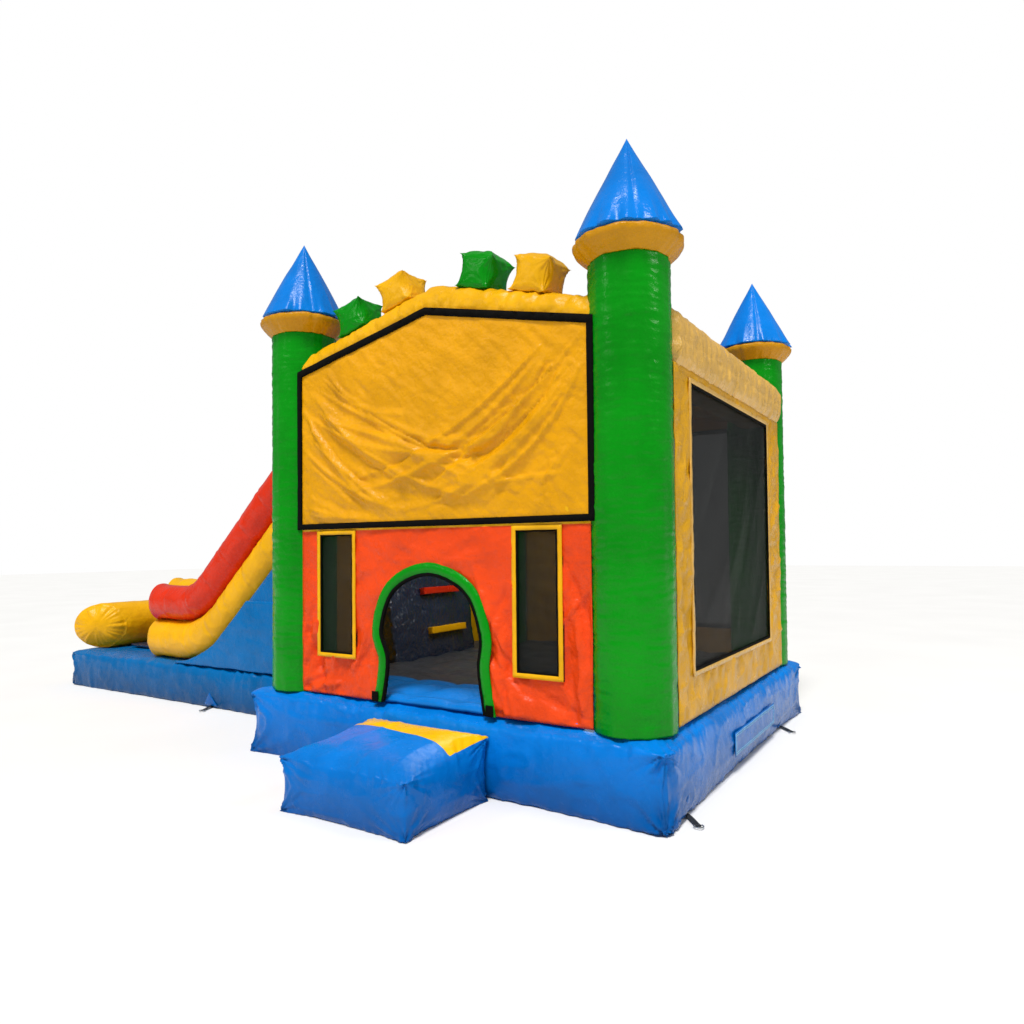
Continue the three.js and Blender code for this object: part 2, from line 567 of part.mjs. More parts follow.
function blowerHousing() {
  const { y, z, r, half, duct, ductStart, inlet, motor } = BLOWER;
  const x = SLEEVE.x;
  const wall = 8;
  const drum = cylinder("x", r, x - half, x + half, [y, z], 28);
  const nose = cylinder("y", duct, ductStart, y, [x, SLEEVE.z], 24);
  const feet = [-1, 1].map((side) => box(x + side * 80 - 25, x + side * 80 + 25, y - 180, y + 180, 0, 130));
  const handleZ = z + r - 14;
  const handle = cut(
    cylinder("x", 95, x - 16, x + 16, [y, handleZ], 20),
    cylinder("x", 66, x - 40, x + 40, [y, handleZ], 16),
    box(-FAR, FAR, -FAR, FAR, -FAR, handleZ - 25),
  );
  const switchBox = box(x - 75, x - 25, y + r - 30, y + r + 22, z - 20, z + 60);
  const cavity = cylinder("x", r - wall, x - half + wall, x + half - wall, [y, z], 28);
  const bore = cylinder("y", duct - wall, ductStart - 10, y, [x, SLEEVE.z], 24);
  const ports = [
    cylinder("x", inlet, x, x + half + 20, [y, z], 24),
    cylinder("x", motor + 2, x - half - 20, x, [y, z], 24),
    box(x - 62, x - 38, y + r + 8, y + r + 30, z + 3, z + 37),
  ];
  add("blower_housing", cut(join(drum, nose, ...feet, handle, switchBox), cavity, bore, ...ports), COLOUR.plastic,
    { roughness: 0.55 });

  const rocker = outline([[y + r + 13, z + 5], [y + r + 13, z + 35], [y + r + 27, z + 34], [y + r + 21, z + 6]]);
  add("blower_switch", slabAlongX(rocker, x - 60, x - 40), COLOUR.red, { roughness: 0.4 });

  const grilleX = x + half + GAP;
  const slots = Array.from({ length: 6 }, (_, i) => {
    const band = new THREE.Shape();
    const [from, to] = [(i * Math.PI) / 3 + 0.12, ((i + 1) * Math.PI) / 3 - 0.12];
    band.absarc(0, 0, 88, from, to);
    band.absarc(0, 0, 34, to, from, true);
    return slabAlongX(band, grilleX - 5, grilleX + 20).translate(0, y, z);
  });
  add("blower_grille", cut(cylinder("x", inlet + 18, grilleX, grilleX + 6, [y, z], 24), ...slots), COLOUR.steel,
    { roughness: 0.35, metalness: 0.8 });
}

function blowerRotor() {
  const { y, z, motor, half } = BLOWER;
  const x = SLEEVE.x;
  const [back, front, outer] = [x - 70, x + 70, 165];
  const blades = Array.from({ length: 10 }, (_, i) => (
    box(back, front, -4, 4, outer - 55, outer - 6).rotateX((i * 2 * Math.PI) / 10).translate(0, y, z)
  ));
  const rotor = join(
    cylinder("x", outer, back - 6, back + 1, [y, z], 24),
    cut(cylinder("x", outer, front - 1, front + 6, [y, z], 24), cylinder("x", outer - 50, front - 20, front + 20, [y, z], 24)),
    cylinder("x", 30, back - 20, back + 30, [y, z], 12),
    cylinder("x", 9, x - half - 40, back, [y, z], 12),
    ...blades,
  );
  add("blower_impeller", rotor, COLOUR.steel, { roughness: 0.4, metalness: 0.7 });
  const can = cut(
    cylinder("x", motor, x - half - 110, x - half + 22, [y, z], 20),
    cylinder("x", 10, x - half - 45, x, [y, z], 12),
  );
  const flange = cut(
    cylinder("x", motor + 20, x - half - 8.5, x - half - GAP, [y, z], 20),
    cylinder("x", motor - 10, x - half - 40, x - half + 40, [y, z], 20),
  );
  add("blower_motor", join(can, flange), COLOUR.plastic, { roughness: 0.5, metalness: 0.3 });
}

// ---- deflation zip and its cover flap ----
function deflationZip() {
  const x = BASE.x1;
  add("deflation_flap", box(x + FLAP.stand, x + FLAP.stand + FLAP.thick, FLAP.y0, FLAP.y1, FLAP.z0, FLAP.z1),
    COLOUR.blue);
  add("zip_slider", box(x + GAP, x + FLAP.stand - 1, FLAP.y0 + 60, FLAP.y0 + 95, 218, 232), COLOUR.steel,
    { roughness: 0.3, metalness: 0.8 });
}

base();
baffles();
jumpFloor();
towers();
gableBeam("front_beam", 0);
gableBeam("back_beam", TOWER_Y);
sideBeam("left_beam", -SIDE_BEAM.offset);
sideBeam("right_beam", TOWER_X + SIDE_BEAM.offset);
merlons();
frontWall();
banner();
sideWalls();
backWall();
roof();
entryStep();
slideBase();
slideBody();
rails();
poolWall();
climbingWall();
sleeve();
blowerHousing();
blowerRotor();
deflationZip();
RINGS.forEach((ring) => add(ring.name, anchorRing(ring), COLOUR.steel, { roughness: 0.3, metalness: 0.9 }));

// Centre the footprint on the origin, with the ground at Z 0.
group.updateMatrixWorld(true);
const extent = new THREE.Box3().setFromObject(group);
const middle = extent.getCenter(new THREE.Vector3());
group.position.set(-middle.x, -middle.y, -extent.min.z);

export default group;
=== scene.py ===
"""Inflatable bounce house with a side slide and splash pool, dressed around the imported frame."""

import math

import bmesh
import bpy
import numpy as np
from mathutils import Matrix, Vector
from mathutils.geometry import delaunay_2d_cdt


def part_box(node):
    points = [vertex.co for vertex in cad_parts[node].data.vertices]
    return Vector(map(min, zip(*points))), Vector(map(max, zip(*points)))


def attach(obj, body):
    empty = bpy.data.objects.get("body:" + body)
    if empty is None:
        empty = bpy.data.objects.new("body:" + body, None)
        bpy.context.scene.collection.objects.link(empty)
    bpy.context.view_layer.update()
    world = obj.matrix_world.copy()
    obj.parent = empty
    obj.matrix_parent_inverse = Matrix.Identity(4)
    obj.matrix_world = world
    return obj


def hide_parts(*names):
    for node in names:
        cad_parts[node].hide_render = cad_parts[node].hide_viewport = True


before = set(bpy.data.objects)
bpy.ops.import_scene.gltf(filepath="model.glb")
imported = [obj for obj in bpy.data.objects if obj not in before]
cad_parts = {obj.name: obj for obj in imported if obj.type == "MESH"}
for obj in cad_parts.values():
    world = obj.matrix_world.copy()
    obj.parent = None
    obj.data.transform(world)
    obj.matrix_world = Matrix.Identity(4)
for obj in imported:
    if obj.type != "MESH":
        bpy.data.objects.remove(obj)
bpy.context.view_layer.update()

# ---- places ----
# House frame: the origin is at the centre of the front left tower, on the ground. Metres.
_low, _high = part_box("tower_front_left")
ORIGIN = np.array([(_low[0] + _high[0]) / 2, (_low[1] + _high[1]) / 2, 0.0])


def place(node):
    """Lowest and highest corner of a node, in the house frame."""
    low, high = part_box(node)
    return np.array(low) - ORIGIN, np.array(high) - ORIGIN


def middle(node):
    low, high = place(node)
    return (low + high) / 2


BASE_LOW, BASE_HIGH = np.array([-0.33, -0.31, 0.0]), np.array([3.38, 3.48, 0.54])
SLIDE_LOW, SLIDE_HIGH = np.array([-5.05, 0.56, 0.0]), np.array([-0.335, 2.32, 0.45])
TOWER_X, TOWER_Y = middle("tower_back_right")[:2]
FRONT_Y = place("front_wall")[0][1]
BACK_Y = place("back_wall")[1][1]
MID_X = TOWER_X / 2
RIDGE, SLOPE = place("front_beam")[1][2], 0.256
DOOR_X = 1.54

# ---- noise ----
_WORD = np.uint64(0xFFFFFFFF)


def _lattice(i, seed):
    h = (i[..., 0] * 374761393 + i[..., 1] * 668265263 + i[..., 2] * 1440662683 + seed * 974634777)
    h = h.astype(np.uint64) & _WORD
    h = ((h ^ (h >> np.uint64(13))) * np.uint64(1274126177)) & _WORD
    return ((h ^ (h >> np.uint64(16))) & np.uint64(0xFFFF)) / 32767.5 - 1


def noise(points, scale, seed=0):
    """Smooth noise from -1 to 1. scale is the size of a bump, for all axes or one each."""
    q = np.asarray(points, float) / np.asarray(scale, float)
    cell = np.floor(q)
    f = q - cell
    w = f * f * (3 - 2 * f)
    cell = cell.astype(np.int64) + 4096
    total = 0
    for dx in (0, 1):
        for dy in (0, 1):
            for dz in (0, 1):
                weight = (w[..., 0] if dx else 1 - w[..., 0]) * (w[..., 1] if dy else 1 - w[..., 1])
                weight = weight * (w[..., 2] if dz else 1 - w[..., 2])
                total = total + weight * _lattice(cell + np.array([dx, dy, dz]), seed)
    return total


def ridges(points, scale, seed=0, sharp=3):
    """Thin raised lines, as vinyl creases."""
    return np.clip(1 - np.abs(noise(points, scale, seed)) * 1.6, 0, 1) ** sharp


def line3(a, b=0.0, c=0.0):
    a, b, c = np.broadcast_arrays(np.asarray(a, float), b, c)
    return np.stack([a, b, c], -1)


def gather(along, away, period, reach, seed=0):
    """Puckers beside a seam: along it at this period, fading with the distance away from it."""
    pucker = noise(line3(along, away / (6 * reach), 0.5 * seed), (period, 1, 1), seed)
    fine = noise(line3(along, 0.0, 0.5 * seed), (period * 0.45, 1, 1), seed + 7)
    return (0.7 * pucker + 0.3 * fine) * np.exp(-np.abs(away) / reach)


def around(along, angle, size=1.0):
    """Noise places on a round body, so that the noise meets itself after a turn."""
    return line3(along, size * np.cos(angle), size * np.sin(angle))


def turn_between(a, b):
    """The angle between two directions, from 0 to pi."""
    return np.abs((a - b + math.pi) % (2 * math.pi) - math.pi)


# ---- materials ----
def linear(hex_colour):
    parts = [int(hex_colour[i:i + 2], 16) / 255 for i in (0, 2, 4)]
    return tuple((c / 12.92 if c <= 0.04045 else ((c + 0.055) / 1.055) ** 2.4) for c in parts)


class Nodes:
    """A material's node tree, with short calls to add and link nodes."""

    def __init__(self, name):
        self.mat = bpy.data.materials.new(name)
        self.mat.use_nodes = True
        self.tree = self.mat.node_tree
        self.shader = self.tree.nodes["Principled BSDF"]
        self.where = self.add("ShaderNodeTexCoord").outputs["Object"]

    def add(self, kind, **settings):
        node = self.tree.nodes.new(kind)
        for key, value in settings.items():
            setattr(node, key, value)
        return node

    def link(self, a, b):
        self.tree.links.new(a, b)

    def paint(self, socket, value):
        self.link(value, self.shader.inputs[socket])

    def axis(self, letter, vector=None):
        """One coordinate of the place in the row frame, or of another vector."""
        parts = self.add("ShaderNodeSeparateXYZ")
        self.link(self.where if vector is None else vector, parts.inputs["Vector"])
        return parts.outputs[letter]

    def noise(self, scale, detail=3, rough=0.5):
        node = self.add("ShaderNodeTexNoise")
        node.inputs["Scale"].default_value = scale
        node.inputs["Detail"].default_value = detail
        node.inputs["Roughness"].default_value = rough
        self.link(self.where, node.inputs["Vector"])
        return node.outputs["Fac"]

    def ramp(self, value, *stops):
        node = self.add("ShaderNodeValToRGB")
        element = node.color_ramp.elements
        while len(element) < len(stops):
            element.new(0.5)
        for e, (at, colour) in zip(element, stops):
            e.position = at
            e.color = (*colour, 1)
        self.link(value, node.inputs["Fac"])
        return node.outputs["Color"]

    def grey(self, value, *stops):
        return self.ramp(value, *((at, (level,) * 3) for at, level in stops))

    def cloudy(self, base, scale, detail, dark, light):
        """The base colour, clouded from dark times it to light times it."""
        cloud = self.noise(scale, detail)
        return self.ramp(cloud, (0.3, shade(base, dark)), (0.7, shade(base, light)))

    def math(self, operation, a, b):
        node = self.add("ShaderNodeMath", operation=operation)
        for socket, value in zip(node.inputs, (a, b)):
            if isinstance(value, (int, float)):
                socket.default_value = value
            else:
                self.link(value, socket)
        return node.outputs[0]

    def mix(self, factor, a, b):
        node = self.add("ShaderNodeMix", data_type="RGBA")
        self.link(factor, node.inputs["Factor"])
        for socket, value in ((node.inputs["A"], a), (node.inputs["B"], b)):
            if isinstance(value, tuple):
                socket.default_value = (*value, 1)
            else:
                self.link(value, socket)
        return node.outputs["Result"]

    def bump(self, *layers):
        """Each layer is (height, strength, distance in metres)."""
        normal = None
        for height, strength, distance in layers:
            node = self.add("ShaderNodeBump")
            node.inputs["Strength"].default_value = strength
            node.inputs["Distance"].default_value = distance
            self.link(height, node.inputs["Height"])
            if normal is not None:
                self.link(normal, node.inputs["Normal"])
            normal = node.outputs["Normal"]
        self.link(normal, self.shader.inputs["Normal"])

    def set(self, **values):
        for key, value in values.items():
            self.shader.inputs[key.replace("_", " ")].default_value = value


def shade(colour, factor):
    return tuple(min(1.0, c * factor) for c in colour)


# painted shade near the ground, with some scuffing: how much of each colour channel is left at the floor, and
# the height where that darkening ends
GROUND_SHADE_AND_SCUFF, GROUND_SHADE_TOP = (0.2, 0.44, 0.48), 0.5  # what is left of the colour at the ground, and where that ends


def vinyl(name, hex_colour, rough=0.3, creased=0.5, second=None, split=None, gleam=0.2, ground_shade_and_scuff=False):
    """PVC-coated fabric: a cloudy gloss, fine creases and the faint weave of its scrim.
    second and split give another colour where split(nodes) is 1. With the last flag, painted shade near the
    ground, with some scuffing, darkens what is low down."""
    n = Nodes(name)

    def tinted(text):
        base = linear(text)
        cloud = n.noise(2.6, 5, 0.6)
        return n.ramp(cloud, (0.25, shade(base, 0.8)), (0.55, base), (0.85, shade(base, 1.12)))

    colour = tinted(hex_colour)
    if second:
        colour = n.mix(split(n), colour, tinted(second))
    # painted shade near the ground, with some scuffing: the colour is multiplied darker towards the floor,
    # with a noisy edge
    if ground_shade_and_scuff:
        level = n.math("ADD", n.axis("Z"), n.math("MULTIPLY", n.noise(3, 3), 0.1))
        ground_shaded = n.add("ShaderNodeMix", data_type="RGBA", blend_type="MULTIPLY")
        ground_shaded.inputs["Factor"].default_value = 1.0
        n.link(colour, ground_shaded.inputs["A"])
        n.link(n.ramp(level, (0.05, GROUND_SHADE_AND_SCUFF), (GROUND_SHADE_TOP, (1, 1, 1))), ground_shaded.inputs["B"])
        colour = ground_shaded.outputs["Result"]
    n.paint("Base Color", colour)
    n.paint("Roughness", n.grey(n.noise(9, 4, 0.6), (0.3, rough - 0.06), (0.7, rough + 0.1)))
    n.set(Specular_IOR_Level=gleam, IOR=1.5)
    cells = n.add("ShaderNodeTexVoronoi", feature="DISTANCE_TO_EDGE")
    cells.inputs["Scale"].default_value = 7
    n.link(n.where, cells.inputs["Vector"])
    facets = n.grey(cells.outputs["Distance"], (0.0, 0), (0.14, 1))
    weave = n.noise(900, 1, 0.4)
    n.bump((n.noise(14, 6, 0.55), 0.7 * creased, 0.014), (n.noise(48, 4, 0.6), 0.4 * creased, 0.004),
           (facets, 0.2 * creased, 0.005), (weave, 0.05, 0.0006))
    return n.mat


MASK_BLUR = 0.004


def step_mask(letter, edge, flip=False):
    """A mask that turns from 0 to 1 at a place along an axis of the row frame. flip turns it round."""
    def mask(n):
        node = n.add("ShaderNodeMapRange")
        node.inputs["From Min"].default_value = edge - MASK_BLUR
        node.inputs["From Max"].default_value = edge + MASK_BLUR
        if flip:
            node.inputs["To Min"].default_value = 1
            node.inputs["To Max"].default_value = 0
        n.link(n.axis(letter), node.inputs["Value"])
        return node.outputs["Result"]
    return mask


def webbing(name, hex_colour, rough=0.85):
    n = Nodes(name)
    n.paint("Base Color", n.cloudy(linear(hex_colour), 60, 3, 0.7, 1.3))
    wave = n.add("ShaderNodeTexWave", bands_direction="DIAGONAL")
    wave.inputs["Scale"].default_value = 160
    n.link(n.where, wave.inputs["Vector"])
    n.bump((wave.outputs["Fac"], 0.5, 0.001))
    n.set(Roughness=rough, Specular_IOR_Level=0.1)
    return n.mat


def netting(name, hex_colour, clear):
    """Knitted safety mesh: you see through part of it."""
    n = Nodes(name)
    n.paint("Base Color", n.cloudy(linear(hex_colour), 5, 4, 0.75, 1.35))
    n.set(Roughness=0.6, Specular_IOR_Level=0.15)
    knit = n.add("ShaderNodeTexVoronoi")
    knit.inputs["Scale"].default_value = 220
    n.link(n.where, knit.inputs["Vector"])
    n.paint("Alpha", n.grey(knit.outputs["Distance"], (0.0, 1 - clear - 0.08), (0.8, 1 - clear + 0.08)))
    n.bump((knit.outputs["Distance"], 0.3, 0.001))
    return n.mat


def plated(name, hex_colour, rough=0.3):
    n = Nodes(name)
    n.paint("Base Color", n.cloudy(linear(hex_colour), 40, 4, 0.8, 1.0))
    n.paint("Roughness", n.grey(n.noise(80, 5), (0.3, rough), (0.8, rough + 0.2)))
    n.bump((n.noise(300, 3), 0.08, 0.0004))
    n.set(Metallic=1.0)
    return n.mat


def moulded(name, hex_colour, rough=0.5):
    n = Nodes(name)
    n.paint("Base Color", n.cloudy(linear(hex_colour), 8, 4, 0.85, 1.15))
    n.paint("Roughness", n.grey(n.noise(30, 4), (0.3, rough - 0.06), (0.7, rough + 0.1)))
    n.bump((n.noise(700, 2), 0.2, 0.0008))
    return n.mat


WALL_SPLIT = 1.85  # the front wall is orange below this and yellow above
THRESHOLD = 0.5 + float(ORIGIN[1])  # the mat is blue from the doorway to here
STRIPE_FRONT, STRIPE_SLANT = -0.625, 0.13
TOP_SKIN = 0.985  # lattice height above which a place is on a cushion's top


def stripe_mask(n):
    """The yellow band across the rear of the step's top. Its front edge runs further forward on the right."""
    mid = float(middle("entry_step")[0] + ORIGIN[0])
    across = n.math("SUBTRACT", n.axis("X"), mid)
    slant = n.math("ADD", n.axis("Y"), n.math("MULTIPLY", across, STRIPE_SLANT))
    ahead = n.math("GREATER_THAN", slant, float(STRIPE_FRONT + ORIGIN[1]))
    lattice = n.add("ShaderNodeAttribute", attribute_name="lattice")
    level = n.axis("Z", lattice.outputs["Vector"])
    return n.math("MULTIPLY", ahead, n.math("GREATER_THAN", level, TOP_SKIN))


MATS = {
    # blue, deep blue and step blue get painted shade near the ground, with some scuffing
    "blue": vinyl("vinyl blue", "0378d6", 0.22, 0.7, gleam=0.15, ground_shade_and_scuff=True),
    "deep": vinyl("vinyl deep blue", "0068ac", 0.24, 0.8, gleam=0.13, ground_shade_and_scuff=True),
    "green": vinyl("vinyl green", "048c10", 0.22, 0.6, gleam=0.16),
    "yellow": vinyl("vinyl yellow", "eeb008", 0.3, 0.8),
    "mustard": vinyl("vinyl mustard", "c98c08", 0.28, 1.4),
    # painted sheen: a paler, washed copy of the yellow, standing in for bright light on the side beams and
    # the right window's trim
    "painted sheen gold": vinyl("vinyl painted sheen gold", "e0b050", 0.3, 1.6, gleam=0.6),
    "gold": vinyl("vinyl gold", "dca20c", 0.3, 1.7, gleam=0.35),
    "panel": vinyl("panel yellow", "e4a006", 0.27, 1.3),
    "red": vinyl("vinyl red", "d83010", 0.24, 0.7, gleam=0.22),
    "navy": vinyl("vinyl navy", "202e48", 0.16, 2.2, gleam=1.0),
    "mat": vinyl("jump mat", "42454c", 0.34, 0.8, "0374cc", step_mask("Y", THRESHOLD, flip=True)),
    "wall": vinyl("front wall", "ea4814", 0.3, 1.4, "eeb40b", step_mask("Z", WALL_SPLIT)),
    "step": vinyl("step blue", "0378d6", 0.22, 0.7, "f4bd0c", stripe_mask, gleam=0.15, ground_shade_and_scuff=True),
    "pale": vinyl("patch blue", "0462b4", 0.3, 0.4),
    "stitch": webbing("stitching", "8fc4ec", 0.7),
    "black": webbing("hook-and-loop tape", "070605"),
    "strap": webbing("anchor webbing", "30343a"),
    "net": netting("safety mesh", "151818", 0.38),
    "steel": plated("zinc plate", "b8bcc0", 0.28),
    "plastic": moulded("blower plastic", "2b2e33"),
    "switch": moulded("switch red", "c4180f", 0.35),
    "motor": moulded("motor casing", "3a3d42", 0.42),
}


# ---- mesh building ----
def add_mesh(name, verts, faces, mat, body="shell", replaces=(), slot=None):
    mesh = bpy.data.meshes.new(name)
    mesh.from_pydata((np.asarray(verts) + ORIGIN).tolist(), [], [list(map(int, f)) for f in faces])
    fill = bmesh.new()
    fill.from_mesh(mesh)
    bmesh.ops.recalc_face_normals(fill, faces=fill.faces)
    fill.to_mesh(mesh)
    fill.free()
    mesh.materials.append(MATS[mat])
    mesh.polygons.foreach_set("use_smooth", [True] * len(mesh.polygons))
    obj = bpy.data.objects.new(name, mesh)
    bpy.context.scene.collection.objects.link(obj)
    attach(obj, body)
    if replaces:
        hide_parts(*replaces)
    return obj


def rumple(obj, field):
    """Moves each vertex along its normal by field(places in the house frame, normals)."""
    mesh = obj.data
    count = len(mesh.vertices)
    co, normal = np.empty(count * 3), np.empty(count * 3)
    mesh.vertices.foreach_get("co", co)
    mesh.vertices.foreach_get("normal", normal)
    co, normal = co.reshape(-1, 3), normal.reshape(-1, 3)
    co = co + normal * field(co - ORIGIN, normal)[:, None]
    mesh.vertices.foreach_set("co", co.ravel())
    mesh.update()


def skin(rows, cols, wrap):
    """Quads of a grid of rows by cols points. wrap joins the last column to the first."""
    r, c = np.meshgrid(np.arange(rows - 1), np.arange(cols if wrap else cols - 1), indexing="ij")
    right = (c + 1) % cols
    quads = np.stack([r * cols + c, r * cols + right, (r + 1) * cols + right, (r + 1) * cols + c], -1)
    return quads.reshape(-1, 4)


def fan_ends(rows, sides):
    """Faces of a round body of rows of points, with a fan at each end. Its last two points are the ends."""
    faces = skin(rows, sides, True).tolist()
    last_row, first, last = (rows - 1) * sides, rows * sides, rows * sides + 1
    for i in range(sides):
        j = (i + 1) % sides
        faces.append([first, j, i])
        faces.append([last, last_row + i, last_row + j])
    return faces


def two_sided(rows, cols, start=0):
    """Faces of two grids of rows by cols points, one grid after the other, joined round the rim."""
    n = rows * cols
    near = skin(rows, cols, False) + start
    faces = near.tolist() + (near[:, ::-1] + n).tolist()
    rim = [r * cols for r in range(rows)] + [(rows - 1) * cols + c for c in range(1, cols)]
    rim += [r * cols + cols - 1 for r in range(rows - 2, -1, -1)] + list(range(cols - 2, 0, -1))
    for a, b in zip(rim, rim[1:] + rim[:1]):
        faces.append([start + a, start + b, start + b + n, start + a + n])
    return faces


def run_of(points):
    """The distance along a line of points to each of them."""
    return np.concatenate([[0], np.cumsum(np.linalg.norm(np.diff(points, axis=0), axis=1))])


def tube(name, path, radius, mat, sides=64, relief=None, **more):
    """A round body along a path of points. radius has one number a point; relief(along, angle) is added."""
    path = np.asarray(path, float)
    radius = np.broadcast_to(np.asarray(radius, float), len(path))
    tangent = np.gradient(path, axis=0)
    tangent /= np.linalg.norm(tangent, axis=1)[:, None]
    up = np.array([0, 0, 1.0]) if abs(tangent[0][2]) < 0.8 else np.array([0, 1.0, 0])
    side = np.cross(tangent, up)
    side /= np.linalg.norm(side, axis=1)[:, None]
    over = np.cross(side, tangent)
    angle = np.arange(sides) * 2 * math.pi / sides
    s, a = np.meshgrid(run_of(path), angle, indexing="ij")
    r = np.repeat(radius[:, None], sides, 1)
    if relief:
        r = r + relief(s, a) * np.clip(r / max(radius.max(), 1e-6), 0, 1)
    out = np.cos(a)[..., None] * side[:, None] + np.sin(a)[..., None] * over[:, None]
    points = path[:, None] + r[..., None] * out
    verts = np.concatenate([points.reshape(-1, 3), path[:1], path[-1:]])
    return add_mesh(name, verts, fan_ends(len(path), sides), mat, **more)


def lathe(name, centre, profile, mat, sides=96, relief=None, **more):
    """Turns a profile of (radius, height) points about an upright axis. relief(height, angle) is added."""
    profile = np.asarray(profile, float)
    angle = np.arange(sides) * 2 * math.pi / sides
    z, a = np.meshgrid(profile[:, 1], angle, indexing="ij")
    r = np.repeat(profile[:, :1], sides, 1)
    if relief:
        r = r + relief(z, a) * np.clip(r / 0.1, 0, 1)
    points = np.stack([centre[0] + r * np.cos(a), centre[1] + r * np.sin(a), z], -1)
    ends = [[centre[0], centre[1], profile[0, 1]], [centre[0], centre[1], profile[-1, 1]]]
    verts = np.concatenate([points.reshape(-1, 3), ends])
    return add_mesh(name, verts, fan_ends(len(profile), sides), mat, **more)


def spread(points, count):
    """The same polyline with count points, evenly spaced."""
    points = np.asarray(points, float)
    run = run_of(points)
    at = np.linspace(0, run[-1], count)
    return np.stack([np.interp(at, run, points[:, k]) for k in range(points.shape[1])], 1)


def box_lattice(size, step):
    """The skin of a box as a grid: places from -1 to 1 on each axis, and quads."""
    count = np.maximum(np.round(size / step).astype(int), 4)
    ticks = []
    for k in range(3):
        u = np.linspace(-1, 1, count[k] + 1)
        ticks.append(0.72 * u + 0.28 * np.sin(u * math.pi / 2))
    index, lattice, faces = {}, [], []

    def corner(i, j, k):
        key = (i, j, k)
        if key not in index:
            index[key] = len(lattice)
            lattice.append((ticks[0][i], ticks[1][j], ticks[2][k]))
        return index[key]

    for axis in range(3):
        a, b = (axis + 1) % 3, (axis + 2) % 3
        for end in (0, count[axis]):
            for i in range(count[a]):
                for j in range(count[b]):
                    quad = []
                    for di, dj in ((0, 0), (1, 0), (1, 1), (0, 1)):
                        key = [0, 0, 0]
                        key[axis], key[a], key[b] = end, i + di, j + dj
                        quad.append(corner(*key))
                    faces.append(quad)
    return np.array(lattice), faces


def ground(obj):
    """Keeps a piece from sinking through the floor."""
    for vertex in obj.data.vertices:
        vertex.co.z = max(vertex.co.z, 0.001)


def cushion(name, low, high, mat, step, seed, corner=0.14, inset=0.03, crown=0.0, drop=0.03, roll=0.05,
            crinkle=0.009, period=0.042, reach=0.06, square=1.0, shape=None, grounded=False, **more):
    """An inflated box. Its seams run round the top and the bottom, bow inwards by inset and end in sharp
    corners. Halfway up, the sides stand out and the upright corners are round. The top rolls over and crowns.
    crinkle is the depth of the puckers beside the seams. square is 1 for sharp corners and 0 for round ones.
    shape(places, lattice) moves the result. grounded stops it at the floor."""
    low, high = np.asarray(low, float), np.asarray(high, float)
    half, centre = (high - low) / 2, (high + low) / 2
    q, faces = box_lattice(2 * half, step)
    belly = (np.clip(1 - q[:, 2] ** 2, 0, 1) ** 0.6)[:, None]
    size = half[:2] - inset * (1 - belly) * (1 - np.abs(q[:, 1::-1]) ** 2.5)
    flat = q[:, :2] * size
    bend = corner * (1 - square * (1 - belly))
    core = np.clip(flat, bend - size, size - bend)
    out = flat - core
    far = np.linalg.norm(out, axis=1)[:, None]
    flat = np.where(far > 1e-9, core + out / np.maximum(far, 1e-9) * np.minimum(far, bend), flat)
    edge = ((1 - np.abs(q[:, :2])) * half[:2]).min(1)
    rise = drop * (1 - np.exp(-(edge / roll) ** 1.4)) + crown * (1 - q[:, 0] ** 4) * (1 - q[:, 1] ** 4)
    z = low[2] + (q[:, 2] + 1) / 2 * (high[2] - drop - low[2]) + np.where(q[:, 2] > 0.9999, rise, 0)
    places = np.concatenate([flat + centre[:2], z[:, None]], 1)
    if shape:
        places = shape(places, q)
    obj = add_mesh(name, places, faces, mat, **more)
    obj.data.attributes.new("lattice", "FLOAT_VECTOR", "POINT").data.foreach_set("vector", q.ravel())
    run = q[:, 0] * half[0] + q[:, 1] * half[1]

    def field(p, normal):
        patch = 0.35 + 0.65 * np.clip(0.5 + noise(line3(run, 0, seed), 0.45, seed), 0, 1)
        total = 0.0
        for side, share in ((1, 1.0), (-1, 0.55)):
            away = np.hypot((1 - side * q[:, 2]) * half[2], edge)
            total = total + share * crinkle * gather(run, away, period, reach, seed + side) * patch
        tip = np.linalg.norm((1 - np.abs(q)) * half, axis=1)
        turn = np.arctan2((1 - np.abs(q[:, 2])) * half[2], (1 - np.abs(q[:, :2])) @ half[:2] + 1e-6)
        fan = noise(line3(turn * 5, q[:, 0] * 3, q[:, 1] * 3), (0.6, 1, 1), seed + 5)
        total = total + 1.5 * crinkle * fan * np.exp(-tip / (2.6 * reach)) * (1 - np.exp(-tip / 0.02))
        total = total + 0.4 * crinkle * (ridges(p, (0.26, 0.26, 0.1), seed + 9) - 0.3)
        return total
    rumple(obj, field)
    if grounded:
        ground(obj)


def to_outline(points, ring):
    """Distance from each 2-D point to a closed ring, and how far along the ring the nearest place is."""
    ring = np.asarray(ring, float)
    best, along = np.full(len(points), 1e9), np.zeros(len(points))
    run = 0.0
    for a, b in zip(ring, np.roll(ring, -1, 0)):
        span = b - a
        length = math.hypot(*span)
        if length < 1e-9:
            continue
        t = np.clip(((points - a) @ span) / length ** 2, 0, 1)
        d = np.linalg.norm(points - a - t[:, None] * span, axis=1)
        near = d < best
        best[near], along[near] = d[near], run + t[near] * length
        run += length
    return best, along


def inside(points, ring):
    ring = np.asarray(ring, float)
    hit = np.zeros(len(points), bool)
    for (x1, y1), (x2, y2) in zip(ring, np.roll(ring, -1, 0)):
        if y1 == y2:
            continue
        cross = (y1 > points[:, 1]) != (y2 > points[:, 1])
        hit ^= cross & (points[:, 0] < (x2 - x1) * (points[:, 1] - y1) / (y2 - y1) + x1)
    return hit


PLANES = {
    "xz": lambda u, v, w: np.stack([u, w, v], -1),
    "yz": lambda u, v, w: np.stack([w, u, v], -1),
    "xy": lambda u, v, w: np.stack([u, v, w], -1),
}


